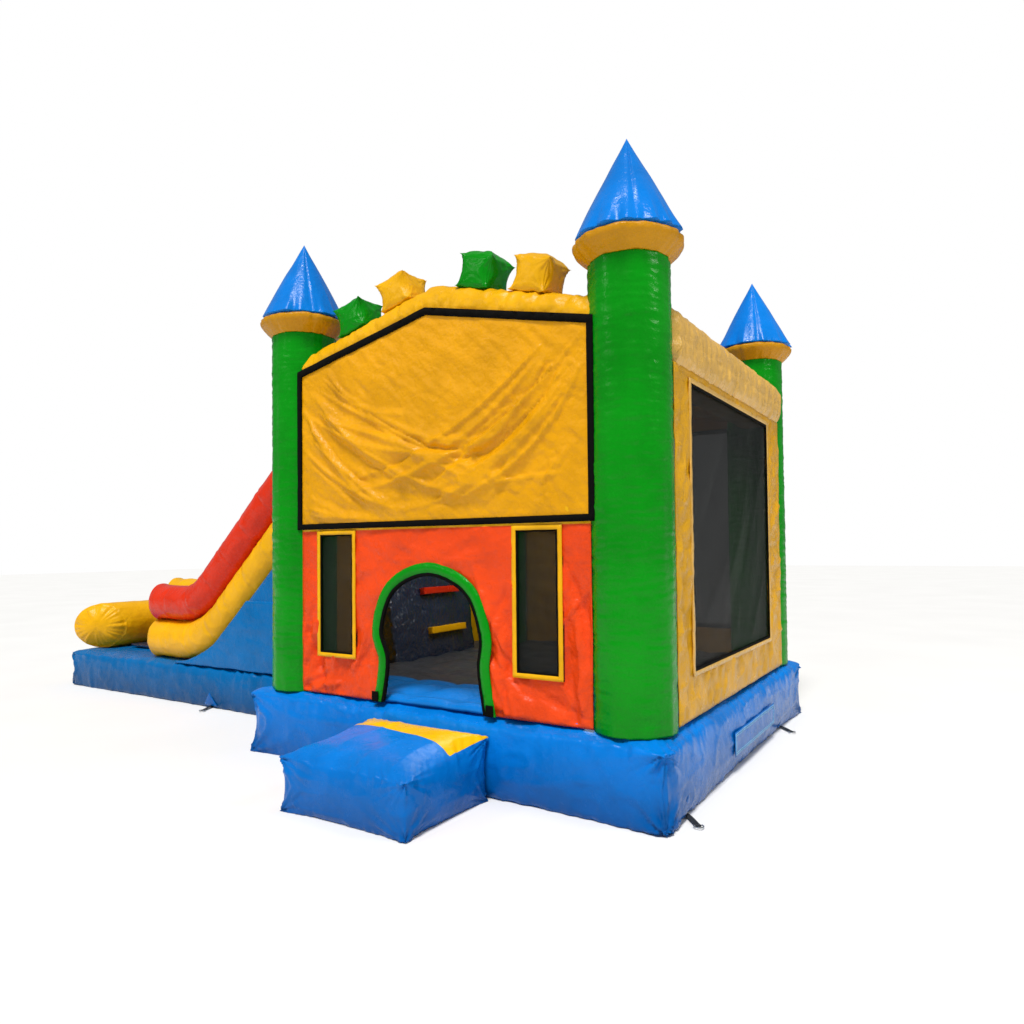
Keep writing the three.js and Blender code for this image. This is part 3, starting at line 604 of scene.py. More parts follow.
def slab(name, rings, w0, w1, plane, mat, step=0.03, rows=1, puff=0.0, side_puff=0.0, reach=0.08,
         fold=None, **more):
    """A flat shape with holes, between depths w0 and w1. rings are its outline and its holes.
    puff swells both faces away from the seams; fold(u, v, distance, along) moves the whole sheet."""
    loops = []
    for ring in rings:
        ring = np.asarray(ring, float)
        loop = []
        for a, b in zip(ring, np.roll(ring, -1, 0)):
            pieces = max(1, int(round(math.hypot(*(b - a)) / step)))
            loop += [a + (b - a) * i / pieces for i in range(pieces)]
        loops.append(np.array(loop))
    border = np.concatenate(loops)
    low, high = border.min(0), border.max(0)
    rise = step * 0.866
    grid = []
    for j in range(1, int((high[1] - low[1]) / rise) + 1):
        shift = 0.5 * step * (j % 2)
        us = np.arange(low[0] + shift + step / 2, high[0], step)
        grid.append(np.stack([us, np.full(len(us), low[1] + j * rise)], 1))
    grid = np.concatenate(grid) if grid else np.zeros((0, 2))
    keep = inside(grid, rings[0])
    for ring in rings[1:]:
        keep &= ~inside(grid, ring)
    for ring in rings:
        keep &= to_outline(grid, ring)[0] > step * 0.55
    points = np.concatenate([border, grid[keep]])
    edges, start = [], 0
    for loop in loops:
        n = len(loop)
        edges += [(start + i, start + (i + 1) % n) for i in range(n)]
        start += n
    flat, _, tris, *_ = delaunay_2d_cdt([Vector(p) for p in points], edges, [], 0, 1e-7)
    flat = np.array([tuple(p) for p in flat])
    tris = np.array([t for t in tris if len(t) == 3])
    heart = flat[tris].mean(1)
    keep = inside(heart, rings[0])
    for ring in rings[1:]:
        keep &= ~inside(heart, ring)
    tris = tris[keep]
    used = np.unique(tris)
    renumber = np.full(len(flat), -1)
    renumber[used] = np.arange(len(used))
    flat, tris = flat[used], renumber[tris]
    count = len(flat)
    half_edges = dict.fromkeys((int(t[i]), int(t[(i + 1) % 3])) for t in tris for i in range(3))
    rim = [e for e in half_edges if (e[1], e[0]) not in half_edges]
    distance, along = np.full(count, 1e9), np.zeros(count)
    for ring in rings:
        d, s = to_outline(flat, ring)
        near = d < distance
        distance[near], along[near] = d[near], s[near]
    swell = puff * (1 - np.exp(-(distance / reach) ** 1.3)) if puff else 0.0
    shift = fold(flat[:, 0], flat[:, 1], distance, along) if fold else 0.0
    to3d = PLANES[plane]
    one = np.zeros(count)
    near_face = to3d(flat[:, 0], flat[:, 1], one + w0 - swell + shift)
    far_face = to3d(flat[:, 0], flat[:, 1], one + w1 + swell + shift)
    verts = [near_face, far_face]
    faces = tris.tolist() + (tris[:, ::-1] + count).tolist()
    rim_verts = sorted({v for e in rim for v in e})
    slot_of = {v: i for i, v in enumerate(rim_verts)}
    out = np.zeros((count, 2))
    for a, b in rim:
        span = flat[b] - flat[a]
        normal = np.array([span[1], -span[0]]) / max(math.hypot(*span), 1e-9)
        out[a] += normal
        out[b] += normal
    size = np.linalg.norm(out, axis=1)
    out[size > 0] /= size[size > 0][:, None]
    base = 2 * count
    moved = np.broadcast_to(shift, count)
    for r in range(1, rows):
        t = r / rows
        crown = side_puff * 4 * t * (1 - t)
        p = flat[rim_verts] + out[rim_verts] * crown
        verts.append(to3d(p[:, 0], p[:, 1], w0 + (w1 - w0) * t + moved[rim_verts]))

    def level(v, r):
        if r == 0:
            return v
        if r == rows:
            return v + count
        return base + (r - 1) * len(rim_verts) + slot_of[v]

    for a, b in rim:
        for r in range(rows):
            faces.append([level(b, r), level(a, r), level(a, r + 1), level(b, r + 1)])
    return add_mesh(name, np.concatenate(verts), faces, mat, **more)


def rect(u0, u1, v0, v1):
    return [(u0, v0), (u1, v0), (u1, v1), (u0, v1)]


def grown(box, by):
    u0, u1, v0, v1 = box
    return rect(u0 - by, u1 + by, v0 - by, v1 + by)


def folds(u, v, seed, count, box, amp, width, lean, spreading=0.5):
    """Long creases in a hung sheet: soft-sided lines at roughly one lean, in degrees."""
    rng = np.random.default_rng(seed)
    u0, u1, v0, v1 = box
    total = np.zeros_like(u)
    for _ in range(count):
        cu, cv = rng.uniform(u0, u1), rng.uniform(v0, v1)
        turn = math.radians(rng.normal(lean, 60 * spreading))
        length = rng.uniform(0.25, 0.6) * max(u1 - u0, v1 - v0)
        du, dv = math.cos(turn), math.sin(turn)
        along = (u - cu) * du + (v - cv) * dv
        bend = 0.04 * np.sin(along * rng.uniform(1.5, 4) + rng.uniform(0, 6))
        across = -(u - cu) * dv + (v - cv) * du + bend
        w = width * rng.uniform(0.5, 1.6)
        side = np.where(across > 0, np.exp(-across / w), np.exp(across / (w * 2.6)))
        total += amp * rng.uniform(0.3, 1) * rng.choice([-1, 1]) * side * np.exp(-(along / length) ** 4)
    return total


# ---- base, floor and step ----
cushion("base", BASE_LOW, BASE_HIGH, "blue", 0.021, 3, corner=0.13, inset=0.06, drop=0.05, roll=0.08,
        crinkle=0.026, period=0.05, reach=0.08, grounded=True, replaces=["base_mattress"], slot="vinyl_blue")


def webs():
    """The sheets inside the base that keep its top flat."""
    low, high = place("floor_baffles")
    verts, faces = [], []
    columns, levels, sheets = 60, 6, 5
    xs, zs = np.linspace(low[0], high[0], columns), np.linspace(low[2], high[2], levels)
    x, z = (grid.ravel() for grid in np.meshgrid(xs, zs, indexing="ij"))
    for i in range(sheets):
        y = low[1] + (i + 0.5) * (high[1] - low[1]) / sheets
        sway = 0.004 * noise(line3(x, z, i * 3.1), (0.2, 0.3, 1), 4)
        for side in (-0.003, 0.003):
            verts.append(np.stack([x, y + side + sway, z], 1))
        faces += two_sided(columns, levels, 2 * i * columns * levels)
    add_mesh("baffle_webs", np.concatenate(verts), faces, "blue", replaces=["floor_baffles"],
             slot="vinyl_blue")


webs()


def between_towers(low, high, clear, notch=()):
    """A rectangle's outline, cut out round the four towers. notch goes in on its left side."""
    x, y = TOWER_X - clear, TOWER_Y - clear
    return [(clear, low[1]), (x, low[1]), (x, clear), (high[0], clear), (high[0], y), (x, y), (x, high[1]),
            (clear, high[1]), (clear, y), (low[0], y), *notch, (low[0], clear), (clear, clear)]


def jump_floor():
    """The mat, quilted in cells, with a notch for the climbing wall's foot."""
    low, high = place("jump_floor")
    wall_low, wall_high = place("climbing_wall")
    gap, cell = 0.005, 0.42
    front, back, deep = wall_low[1] - gap, wall_high[1] + gap, wall_high[0] + gap
    ring = between_towers(low, high, 0.286, [(low[0], back), (deep, back), (deep, front), (low[0], front)])

    def puffed(u, v, distance, along):
        pad = np.abs(np.sin(math.pi * u / cell) * np.sin(math.pi * v / cell)) ** 0.5
        return 0.034 * pad * np.clip(distance / 0.06, 0, 1) + 0.003 * ridges(line3(u, v), 0.16, 21)
    slab("jump_mat", [ring], low[2], high[2] - 0.004, "xy", "mat", 0.035, fold=puffed,
         replaces=["jump_floor"], slot="vinyl_grey")


jump_floor()


STEP_FRONT = 0.375  # the step's front is this high


def entry_step():
    low, high = place("entry_step")
    front = STEP_FRONT / high[2]

    def wedge(p, q):
        p[:, 2] *= front + (1 - front) * (q[:, 1] + 1) / 2
        return p
    cushion("step", low - (0.03, 0.03, 0), high + (0.03, 0, 0), "step", 0.012, 17, corner=0.075, inset=0.036,
            crown=0.045, drop=0.035, roll=0.07, crinkle=0.017, period=0.035, reach=0.06, shape=wedge,
            grounded=True, replaces=["entry_step"], slot="vinyl_blue")


entry_step()


# ---- towers, collars and cones ----
def tube_of(name, facing, seed):
    """A tower. Its seams are either side of the panel that it faces with, and behind."""
    low, high = place(f"tower_{name}")
    radius = (high[0] - low[0]) / 2
    seams = [math.radians(facing + turn) for turn in (-76, 76, 180)]

    def relief(z, a):
        total = 0.0030 * noise(around(z, a), (0.019, 0.4, 0.4), seed)
        total = total + 0.005 * noise(around(z, a), (0.9, 0.2, 0.2), seed + 1)
        for k, at in enumerate(seams):
            away = turn_between(a, at) * radius
            groove = 0.005 * np.exp(-(away / 0.008) ** 2)
            total = total + 0.007 * gather(z, away, 0.03, 0.06, seed + k) - groove
        total = total + 0.008 * gather(a * radius, z - low[2], 0.045, 0.1, seed + 5)
        total = total + 0.005 * gather(a * radius, high[2] - z, 0.045, 0.06, seed + 6)
        return total
    profile = [(radius, z) for z in np.linspace(low[2] - 0.012, high[2], 260)]
    lathe(f"tube_{name}", middle(f"tower_{name}"), profile, "green", 120, relief,
          replaces=[f"tower_{name}"], slot="vinyl_green")
    return radius


def collar(name, centre, radius, seed):
    """The pleated roll under a cone, which flares from the tower's radius."""
    low, high = place(f"collar_{name}")
    top_r = (high[0] - low[0]) / 2
    t = np.linspace(0, 1, 34)
    curve = radius - 0.004 + (top_r - radius + 0.012) * np.sin(np.clip(t / 0.74, 0, 1) * math.pi / 2) ** 1.15
    curve = curve - 0.05 * np.clip((t - 0.8) / 0.2, 0, 1) ** 1.6
    heights = low[2] + (high[2] - low[2]) * t

    def relief(z, a):
        pleats = noise(line3(a * 22 / 6.2832, 0.4 * z, seed), (0.42, 1, 1), seed + 3)
        near_top = np.clip((z - low[2]) / (high[2] - low[2]), 0, 1)
        foot = gather(a * 0.34, z - low[2], 0.05, 0.06, seed)
        return 0.014 * pleats * (0.35 + 0.65 * near_top) + 0.009 * foot
    lathe(f"roll_{name}", centre, np.stack([curve, heights], 1), "mustard", 144, relief,
          replaces=[f"collar_{name}"], slot="vinyl_mustard")


def cone(name, centre, facing, seed):
    """A spire of four panels."""
    low, high = place(f"cone_{name}")
    cone_r = (high[0] - low[0]) / 2
    t = np.linspace(0, 1, 90)
    curve = cone_r * (1 - t) + 0.02 * np.sin(math.pi * t) * (1 - t) + 0.004 * (1 - t)
    heights = low[2] + (high[2] - low[2]) * t
    seams = [math.radians(facing + 8 + k * 90) for k in range(4)]

    def relief(z, a):
        total = 0.03 * gather(a * cone_r, z - low[2], 0.055, 0.1, seed + 8)
        total = total + 0.004 * noise(around(z, a), (0.12, 0.4, 0.4), seed + 2)
        for seam in seams:
            total = total - 0.010 * np.exp(-(turn_between(a, seam) / 0.06) ** 2)
        return total
    lathe(f"spire_{name}", centre, np.stack([curve, heights], 1), "blue", 120, relief,
          replaces=[f"cone_{name}"], slot="vinyl_blue")


# The way each tower's front panel faces, in degrees.
TOWERS = {"front_left": -42, "front_right": -67, "back_right": -76, "back_left": 135}
for number, (name, facing) in enumerate(TOWERS.items()):
    centre, seed = middle(f"tower_{name}"), 40 + 10 * number
    collar(name, centre, tube_of(name, facing, seed), seed)
    cone(name, centre, facing, seed)


# ---- beams and merlons ----
def beam(name, path, half_w, node, seed, mat="yellow"):
    """A squarish inflated beam, gathered at the seams across it."""
    path = spread(path, 190)

    def relief(s, a):
        square = 0.03 * (np.abs(np.sin(2 * a)) ** 1.2)
        seams = sum(np.exp(-((s - at) / 0.02) ** 2) for at in np.arange(0.12, 3.2, 0.24))
        flutter = noise(around(s, a, 1.7), (0.045, 0.5, 0.5), seed)
        creases = ridges(around(s, a), (0.1, 0.4, 0.4), seed + 1)
        return square * (half_w / 0.2) - 0.008 * seams + 0.009 * flutter + 0.007 * creases - 0.006
    tube(name, path, half_w, mat, 72, relief, replaces=[node], slot="vinyl_yellow")


def gable_top(x):
    return RIDGE - SLOPE * abs(x - MID_X)


def beams():
    """Two gabled beams, bent softly at the ridge, and two level ones that stand a little outwards."""
    under_ridge, gable_w, side_w, outwards = 0.195, 0.186, 0.218, 0.07
    xs = np.linspace(0.2, TOWER_X - 0.2, 60)
    from_ridge = np.sqrt((xs - MID_X) ** 2 + 0.05 ** 2)
    for node, y, seed in (("front_beam", 0.0, 70), ("back_beam", TOWER_Y, 76)):
        path = np.stack([xs, np.full(len(xs), y), RIDGE - SLOPE * from_ridge - under_ridge], 1)
        beam(f"{node}_roll", path, gable_w, node, seed)
    for node, x, seed in (("left_beam", -outwards, 80), ("right_beam", TOWER_X + outwards, 86)):
        z = middle(node)[2]
        # the level beams take the yellow with painted sheen
        beam(f"{node}_roll", [(x, 0.16, z), (x, TOWER_Y - 0.16, z)], side_w, node, seed, "painted sheen gold")


beams()


def merlon(node, seed):
    """A block on the gable, square to its slope."""
    colour = node.split("_")[1]
    x = middle(node)[0]
    tilt = math.atan(SLOPE) * math.copysign(1, x - MID_X)
    turn = np.array(Matrix.Rotation(tilt, 3, "Y"))
    foot = np.array([x, 0.0, gable_top(x) - 0.012])

    def stand(p, q):
        return p @ turn.T + foot
    cushion(f"{node}_block", (-0.15, -0.15, 0.0), (0.15, 0.15, 0.262), colour, 0.01, seed, corner=0.1,
            inset=0.022, crown=0.02, drop=0.03, roll=0.05, crinkle=0.009, period=0.035, reach=0.04,
            shape=stand, replaces=[node], slot=f"vinyl_{colour}")


for number, name in enumerate(("green_left", "yellow_left", "green_right", "yellow_right")):
    merlon(f"merlon_{name}", 90 + 11 * number)


# ---- front wall, doorway, windows and banner ----
def door_ring(offset):
    """The horseshoe edge of the doorway, from its left foot to its right one."""
    half = [(-0.465, 0.51), (-0.41, 0.85), (-0.475, 1.09), (-0.342, 1.395)]
    splay = (0.05, 0.05, 0, 0)  # the right leg's foot stands wider
    points_a_span = 7
    knots = half + [(0, 1.525)] + [(-x + more, z) for (x, z), more in reversed(list(zip(half, splay)))]
    knots = np.array([knots[0]] + knots + [knots[-1]])
    edge = []
    for i in range(1, len(knots) - 2):
        p0, p1, p2, p3 = knots[i - 1:i + 3]
        for t in np.linspace(0, 1, points_a_span, endpoint=False):
            edge.append(0.5 * (2 * p1 + (p2 - p0) * t + (2 * p0 - 5 * p1 + 4 * p2 - p3) * t * t
                               + (3 * p1 - p0 - 3 * p2 + p3) * t ** 3))
    edge = np.array(edge + [knots[-2]])
    tangent = np.gradient(edge, axis=0)
    tangent /= np.linalg.norm(tangent, axis=1)[:, None]
    return edge + np.stack([-tangent[:, 1], tangent[:, 0]], 1) * offset + np.array([DOOR_X, 0])


WINDOWS = {"left": (0.41, 0.77, 0.87, 1.82), "right": (2.288, 2.614, 0.855, 1.818)}
WALL_FOOT, WALL_SIDE = 0.541, 0.197  # the gabled walls' foot, and their sides inside the tower centres
GABLE_DROP = 0.403  # how far their top is below the gable's


def gable_ring(drop):
    """The outline of a wall between two towers, whose top is this far below the gable's."""
    x0, x1 = WALL_SIDE, TOWER_X - WALL_SIDE
    return [(x0, WALL_FOOT), (x1, WALL_FOOT), (x1, gable_top(x1) - drop), (MID_X, RIDGE - drop),
            (x0, gable_top(x0) - drop)]


def front_sheet():
    wall = gable_ring(GABLE_DROP)
    door = [(x, max(z, WALL_FOOT)) for x, z in door_ring(0)]
    outline = [wall[0], (door[0][0], WALL_FOOT)] + door[1:-1] + [(door[-1][0], WALL_FOOT)] + wall[1:]
    rings = [outline] + [rect(*hole) for hole in WINDOWS.values()]

    def draped(u, v, distance, along):
        low_down = np.exp(-(v - WALL_FOOT) / 0.3)
        total = 0.026 * low_down * noise(line3(u + 0.3 * v, 0.25 * v), (0.1, 0.4, 1), 101)
        total += folds(u, v, 102, 30, (0.2, 0.9, 0.55, 1.2), 0.036, 0.03, 72, 0.45)
        total += folds(u, v, 104, 30, (1.9, 2.85, 0.55, 1.3), 0.036, 0.03, 105, 0.45)
        total += folds(u, v, 103, 18, (0.3, 2.75, 1.5, 1.88), 0.010, 0.03, 15, 0.5)
        total += 0.005 * noise(line3(u, v), (0.05, 0.09, 1), 106)
        for level in (0.8, 1.62):
            total -= 0.005 * np.exp(-((v - level - 0.006 * np.sin(9 * u)) / 0.006) ** 2)
        return total * np.clip(distance / 0.03, 0.15, 1) - 0.002
    obj = slab("front_sheet", rings, FRONT_Y, FRONT_Y + 0.006, "xz", "wall", 0.018, fold=draped,
               replaces=["front_wall"], slot="vinyl_orange")


def puckered(depth, period, reach, seed):
    """A fold for trims: puckers along their seams."""
    return lambda u, v, distance, along: depth * gather(along, distance, period, reach, seed)


def rippled(depth, scale, seed):
    """A fold for small sheets: slow ripples."""
    return lambda u, v, distance, along: depth * noise(line3(u, v), scale, seed)


def doorway():
    """The green roll round the door, its black edging and a tag at each foot."""
    sill = WALL_FOOT + 0.001
    for name, inner, outer, depths, mat, slot, more in (
            ("door_roll", 0.0, 0.07, (0.03, 0.012), "green", "vinyl_green",
             dict(rows=3, puff=0.012, side_puff=0.004, reach=0.02, fold=puckered(0.004, 0.03, 0.03, 105),
                  replaces=["door_trim"])),
            ("door_edging", -0.026, 0.001, (0.028, 0.008), "black", "tape_black", {})):
        band = np.concatenate([door_ring(inner), door_ring(outer)[::-1]])
        band[:, 1] = np.maximum(band[:, 1], sill)
        slab(name, [band], FRONT_Y - depths[0], FRONT_Y - depths[1], "xz", mat, 0.014, slot=slot, **more)
    for side, foot in (("left", door_ring(0.035)[0]), ("right", door_ring(0.035)[-1])):
        tag = rect(foot[0] - 0.03, foot[0] + 0.03, WALL_FOOT + 0.004, WALL_FOOT + 0.08)
        slab(f"door_tag_{side}", [tag], FRONT_Y - 0.052, FRONT_Y - 0.046, "xz", "black", 0.012,
             slot="tape_black")


def front_windows():
    for side, hole in WINDOWS.items():
        slab(f"window_trim_{side}", [grown(hole, 0.03), rect(*hole)], FRONT_Y - 0.012, FRONT_Y - 0.003, "xz",
             "yellow", 0.018, 2, 0.003, 0.002, 0.012, puckered(0.003, 0.05, 0.05, 107), slot="vinyl_yellow")
        slab(f"window_edge_{side}", [grown(hole, 0.004), grown(hole, -0.014)], FRONT_Y - 0.008,
             FRONT_Y + 0.004, "xz", "black", 0.018, slot="tape_black")
        net, y = [grown(hole, 0.03)], FRONT_Y + 0.0125
        obj = slab(f"window_net_{side}", net, y, y + 0.002, "xz", "net", 0.03,
                   fold=rippled(0.006, (0.12, 0.3, 1), 109), replaces=[f"window_mesh_{side}"],
                   slot="mesh_black")


front_sheet()
doorway()
front_windows()


def sweeps(u, v, seed, count, start, end, bend, amp, width):
    """Long curved pulls in a sheet: each runs from a place in start to one in end, and bows by bend."""
    rng = np.random.default_rng(seed)
    total = np.zeros_like(u)
    for _ in range(count):
        a = np.array([rng.uniform(*start[0]), rng.uniform(*start[1])])
        b = np.array([rng.uniform(*end[0]), rng.uniform(*end[1])])
        length = max(float(np.hypot(*(b - a))), 0.05)
        du, dv = (b - a) / length
        along = ((u - a[0]) * du + (v - a[1]) * dv) / length
        bow = bend * rng.uniform(0.5, 1.5) * length * 4 * along * (1 - along)
        across = (v - a[1]) * du - (u - a[0]) * dv - bow
        w = width * rng.uniform(0.5, 1.7) * (0.35 + np.clip(along, 0, 1))
        side = np.where(across > 0, np.exp(-across / w), np.exp(across / (2.4 * w)))
        within = np.clip(along / 0.12, 0, 1) * np.clip((1 - along) / 0.25, 0, 1)
        total += amp * rng.uniform(0.35, 1) * rng.choice([-1, 1]) * side * within
    return total


def banner():
    x0, bottom, eave, slope, border = 0.162, 1.868, 3.178, 0.218, 0.042

    def shape(inset):
        a, b = x0 + inset, TOWER_X - x0 - inset
        top = eave - inset
        ridge = top + (MID_X - a) * slope
        return [(a, bottom + inset), (b, bottom + inset), (b, top), (MID_X, ridge), (a, top)]

    def hung(u, v, distance, along):
        total = np.zeros_like(u)
        for seed, count, start, end, bend, amp, width in (
                (121, 15, ((0.2, 0.5), (2.8, 3.2)), ((1.5, 2.8), (2.0, 2.7)), -0.07, 0.042, 0.032),
                (122, 13, ((2.5, 2.85), (2.8, 3.15)), ((0.5, 1.9), (1.9, 2.3)), 0.10, 0.038, 0.032),
                (123, 10, ((0.2, 0.3), (2.0, 2.9)), ((0.9, 1.8), (1.9, 2.0)), -0.05, 0.030, 0.024),
                (125, 14, ((1.7, 2.6), (1.9, 2.2)), ((2.4, 2.85), (1.9, 2.6)), 0.04, 0.020, 0.015)):
            total += sweeps(u, v, seed, count, start, end, bend, amp, width)
        total += 0.010 * noise(line3(u, v), 0.35, 124) + 0.006 * noise(line3(u + v, v), (0.06, 0.12, 1), 127)
        return -np.minimum(np.abs(total), 0.07) * np.clip(distance / 0.09, 0.1, 1)
    rings = [shape(0)]
    obj = slab("banner", rings, FRONT_Y - 0.0065, FRONT_Y - 0.0005, "xz", "panel", 0.016, fold=hung,
               replaces=["banner_panel"], slot="vinyl_yellow")
    slab("banner_tape", [shape(-0.004), shape(border)], FRONT_Y - 0.021, FRONT_Y - 0.007, "xz", "black", 0.03,
         fold=rippled(0.003, 0.12, 126), replaces=["banner_border"], slot="tape_black")


banner()


# ---- side walls, back wall, roof ----
def wall_fold(seed, amp=0.012):
    def fold(u, v, distance, along):
        creases = ridges(line3(u, v), 0.12, seed + 1)
        total = amp * noise(line3(u, v), (0.09, 0.13, 1), seed) + 0.7 * amp * creases
        return total * np.clip(distance / 0.04, 0.2, 1)
    return fold


TUCK = 0.06  # how far the wall sheets run up behind the beams


def right_side():
    low, high = place("right_wall")
    window = (0.428, 2.55, 0.85, 2.812)
    outer = rect(low[1], high[1], low[2], high[2] + TUCK)
    rings = [outer, rect(*window)]
    obj = slab("right_sheet", rings, high[0] - 0.006, high[0], "yz", "gold", 0.02, fold=wall_fold(131, 0.018),
               replaces=["right_wall"], slot="vinyl_yellow")
    # the trim takes the yellow with painted sheen
    slab("right_window_trim", [grown(window, 0.03), rect(*window)], high[0] + 0.003, high[0] + 0.013, "yz",
         "painted sheen gold", 0.024, 2, 0.004, 0.002, 0.015, puckered(0.005, 0.06, 0.05, 133), slot="vinyl_yellow")
    slab("right_window_edge", [grown(window, 0.003), grown(window, -0.02)], high[0] - 0.002,
         high[0] + 0.009, "yz", "black", 0.03, slot="tape_black")
    low, high = place("right_mesh")
    net = [rect(low[1], high[1], low[2], high[2])]

    def slack(u, v, distance, along):
        creases = folds(u, v, 135, 14, (0.4, 2.5, 0.9, 2.8), 1.0, 0.08, 55, 0.2)
        return 0.016 * creases * np.clip(distance / 0.2, 0, 1)
    obj = slab("right_net", net, high[0] - 0.003, high[0] - 0.001, "yz", "net", 0.035, fold=slack,
               replaces=["right_mesh"], slot="mesh_black")


def left_side():
    """The left sheet, cut open above the slide's lane."""
    low, high = place("left_wall")
    lane_low, lane_high = place("slide_lane")
    gap0, gap1, sill = lane_low[1], lane_high[1], lane_high[2] - 0.045
    top = high[2] + TUCK
    ring = [(low[1], low[2]), (high[1], low[2]), (high[1], top), (gap1, top), (gap1, sill), (gap0, sill),
            (gap0, top), (low[1], top)]
    obj = slab("left_sheet", [ring], low[0], low[0] + 0.006, "yz", "yellow", 0.032, fold=wall_fold(141),
               replaces=["left_wall"], slot="vinyl_yellow")


right_side()
left_side()


def back_side():
    hole = (0.66, 2.75, 0.87, 2.9)
    rings = [gable_ring(GABLE_DROP - TUCK), rect(*hole)]
    obj = slab("back_sheet", rings, BACK_Y - 0.006, BACK_Y, "xz", "yellow", 0.03, fold=wall_fold(151),
               replaces=["back_wall"], slot="vinyl_yellow")
    slab("back_window_trim", [grown(hole, 0.05), rect(*hole)], BACK_Y + 0.003, BACK_Y + 0.013, "xz", "yellow",
         0.026, 2, 0.004, 0.002, 0.015, puckered(0.005, 0.06, 0.05, 153), slot="vinyl_yellow")
    low, high = place("back_mesh")
    net = [rect(low[0], high[0], low[2], high[2])]
    obj = slab("back_net", net, low[1] + 0.001, low[1] + 0.003, "xz", "net", 0.05,
               fold=lambda u, v, d, s: 0.01 * noise(line3(u, v), (0.3, 0.5, 1), 155) * np.clip(d / 0.2, 0, 1),
               replaces=["back_mesh"], slot="mesh_black")


def roof():
    """A pitched sheet that sags between the front and the back beam."""
    low, high = place("roof_sheet")
    eave = low[2] + 0.004
    ring = between_towers(low, high, 0.282)

    def pitched(u, v, distance, along):
        rise = SLOPE * (MID_X - low[0] - np.sqrt((u - MID_X) ** 2 + 0.03 ** 2))
        span = np.clip((v - low[1]) / (high[1] - low[1]), 0, 1)
        sag = -0.05 * np.sin(math.pi * span) * np.clip(distance / 0.5, 0, 1)
        return rise + sag + 0.012 * noise(line3(u, v), (0.5, 0.25, 1), 157) * np.clip(distance / 0.1, 0, 1)
    obj = slab("roof", [ring], eave - 0.008, eave - 0.002, "xy", "blue", 0.045, fold=pitched,
               replaces=["roof_sheet"], slot="vinyl_blue")


back_side()
roof()


# ---- slide ----
# The line under the rails: where it leaves the pool and its height there, the bend's radius, the pitch, and
# where the crest's bend starts with its radius.
FOOT, LEVEL, BEND, TILT, CREST, CREST_BEND = -2.9, 0.458, 1.4, math.radians(42.5), -0.76, 0.6
BEND_END = (FOOT + BEND * math.sin(TILT), LEVEL + BEND * (1 - math.cos(TILT)))
CREST_Z = BEND_END[1] + (CREST - BEND_END[0]) * math.tan(TILT)
RUN_TOP = CREST_Z + CREST_BEND * (1 - math.cos(TILT))


def slide_line(offset, x0, x1):
    """The line under the rails, moved up by offset: pool, bend, straight and crest."""
    points = [(x0, LEVEL + offset)]
    for turn in np.linspace(0, TILT, 24):
        r = BEND - offset
        points.append((FOOT + r * math.sin(turn), LEVEL + BEND - r * math.cos(turn)))
    crest_x = CREST + CREST_BEND * math.sin(TILT)
    for turn in np.linspace(TILT, 0, 20):
        r = CREST_BEND + offset
        points.append((crest_x - r * math.sin(turn), RUN_TOP - CREST_BEND + r * math.cos(turn)))
    points.append((x1, RUN_TOP + offset))
    return points


cushion("slide_base_cushion", SLIDE_LOW, SLIDE_HIGH, "deep", 0.028, 23, corner=0.18, inset=0.04, drop=0.04,
        roll=0.08, crinkle=0.024, period=0.06, reach=0.09, square=0.3, grounded=True, replaces=["slide_base"],
        slot="vinyl_blue")


def rounded(radius, run, dome):
    """Radius along a tube that starts as a dome this long."""
    t = np.clip(1 - run / dome, 0, 1)
    return radius * np.sqrt(np.clip(1 - t ** 2.2, 0.0004, 1))


def ease_start(points, count):
    """Points along a line, packed closer towards its start, and the distance to each."""
    points = np.asarray(points, float)
    run = run_of(points)
    packed = 0.12 * np.linspace(0, 1, 18) ** 2
    at = np.unique(np.round(np.concatenate([np.linspace(0, run[-1], count), packed]), 5))
    return np.stack([np.interp(at, run, points[:, k]) for k in range(3)], 1), at


def rails():
    """Two tubes on each side of the slide, one on the other, seamed across."""
    lower, upper, between, dome = 0.215, 0.2, 0.009, 0.035
    top = 2 * lower + upper + between
    near_y, near_x, far_y, far_x, end_x = 0.82, -3.42, 2.07, -5.045, -0.285
    for node, y, start, offset, radius, mat, seed in (
            ("near_rail_lower", near_y, near_x, lower, lower, "yellow", 175),
            ("near_rail_upper", near_y, near_x, top, upper, "red", 180),
            ("far_rail_lower", far_y, far_x, lower, lower, "red", 171),
            ("far_rail_upper", far_y, far_x, top, upper, "yellow", 166)):
        path, run = ease_start([(x, y, z) for x, z in slide_line(offset, start, end_x)], 230)

        def relief(s, a, seed=seed):
            at_seams = np.arange(0.35, 6, 0.42)
            seams = sum(np.exp(-((s - at) / 0.012) ** 2) for at in at_seams)
            near_seams = sum(np.exp(-((s - at) / 0.07) ** 2) for at in at_seams)
            flutter = noise(around(s, a, 1.5), (0.05, 0.5, 0.5), seed)
            pinch = -0.02 * np.exp(-((s - 0.02) / 0.05) ** 2) * np.cos(2 * a)
            creases = ridges(around(s, a), (0.2, 0.6, 0.6), seed + 2)
            return pinch - 0.007 * seams + 0.009 * flutter * near_seams + 0.006 * creases
        tube(f"{node}_tube", path, rounded(radius, run, dome), mat, 64, relief, replaces=[node],
             slot=f"vinyl_{mat}")


rails()


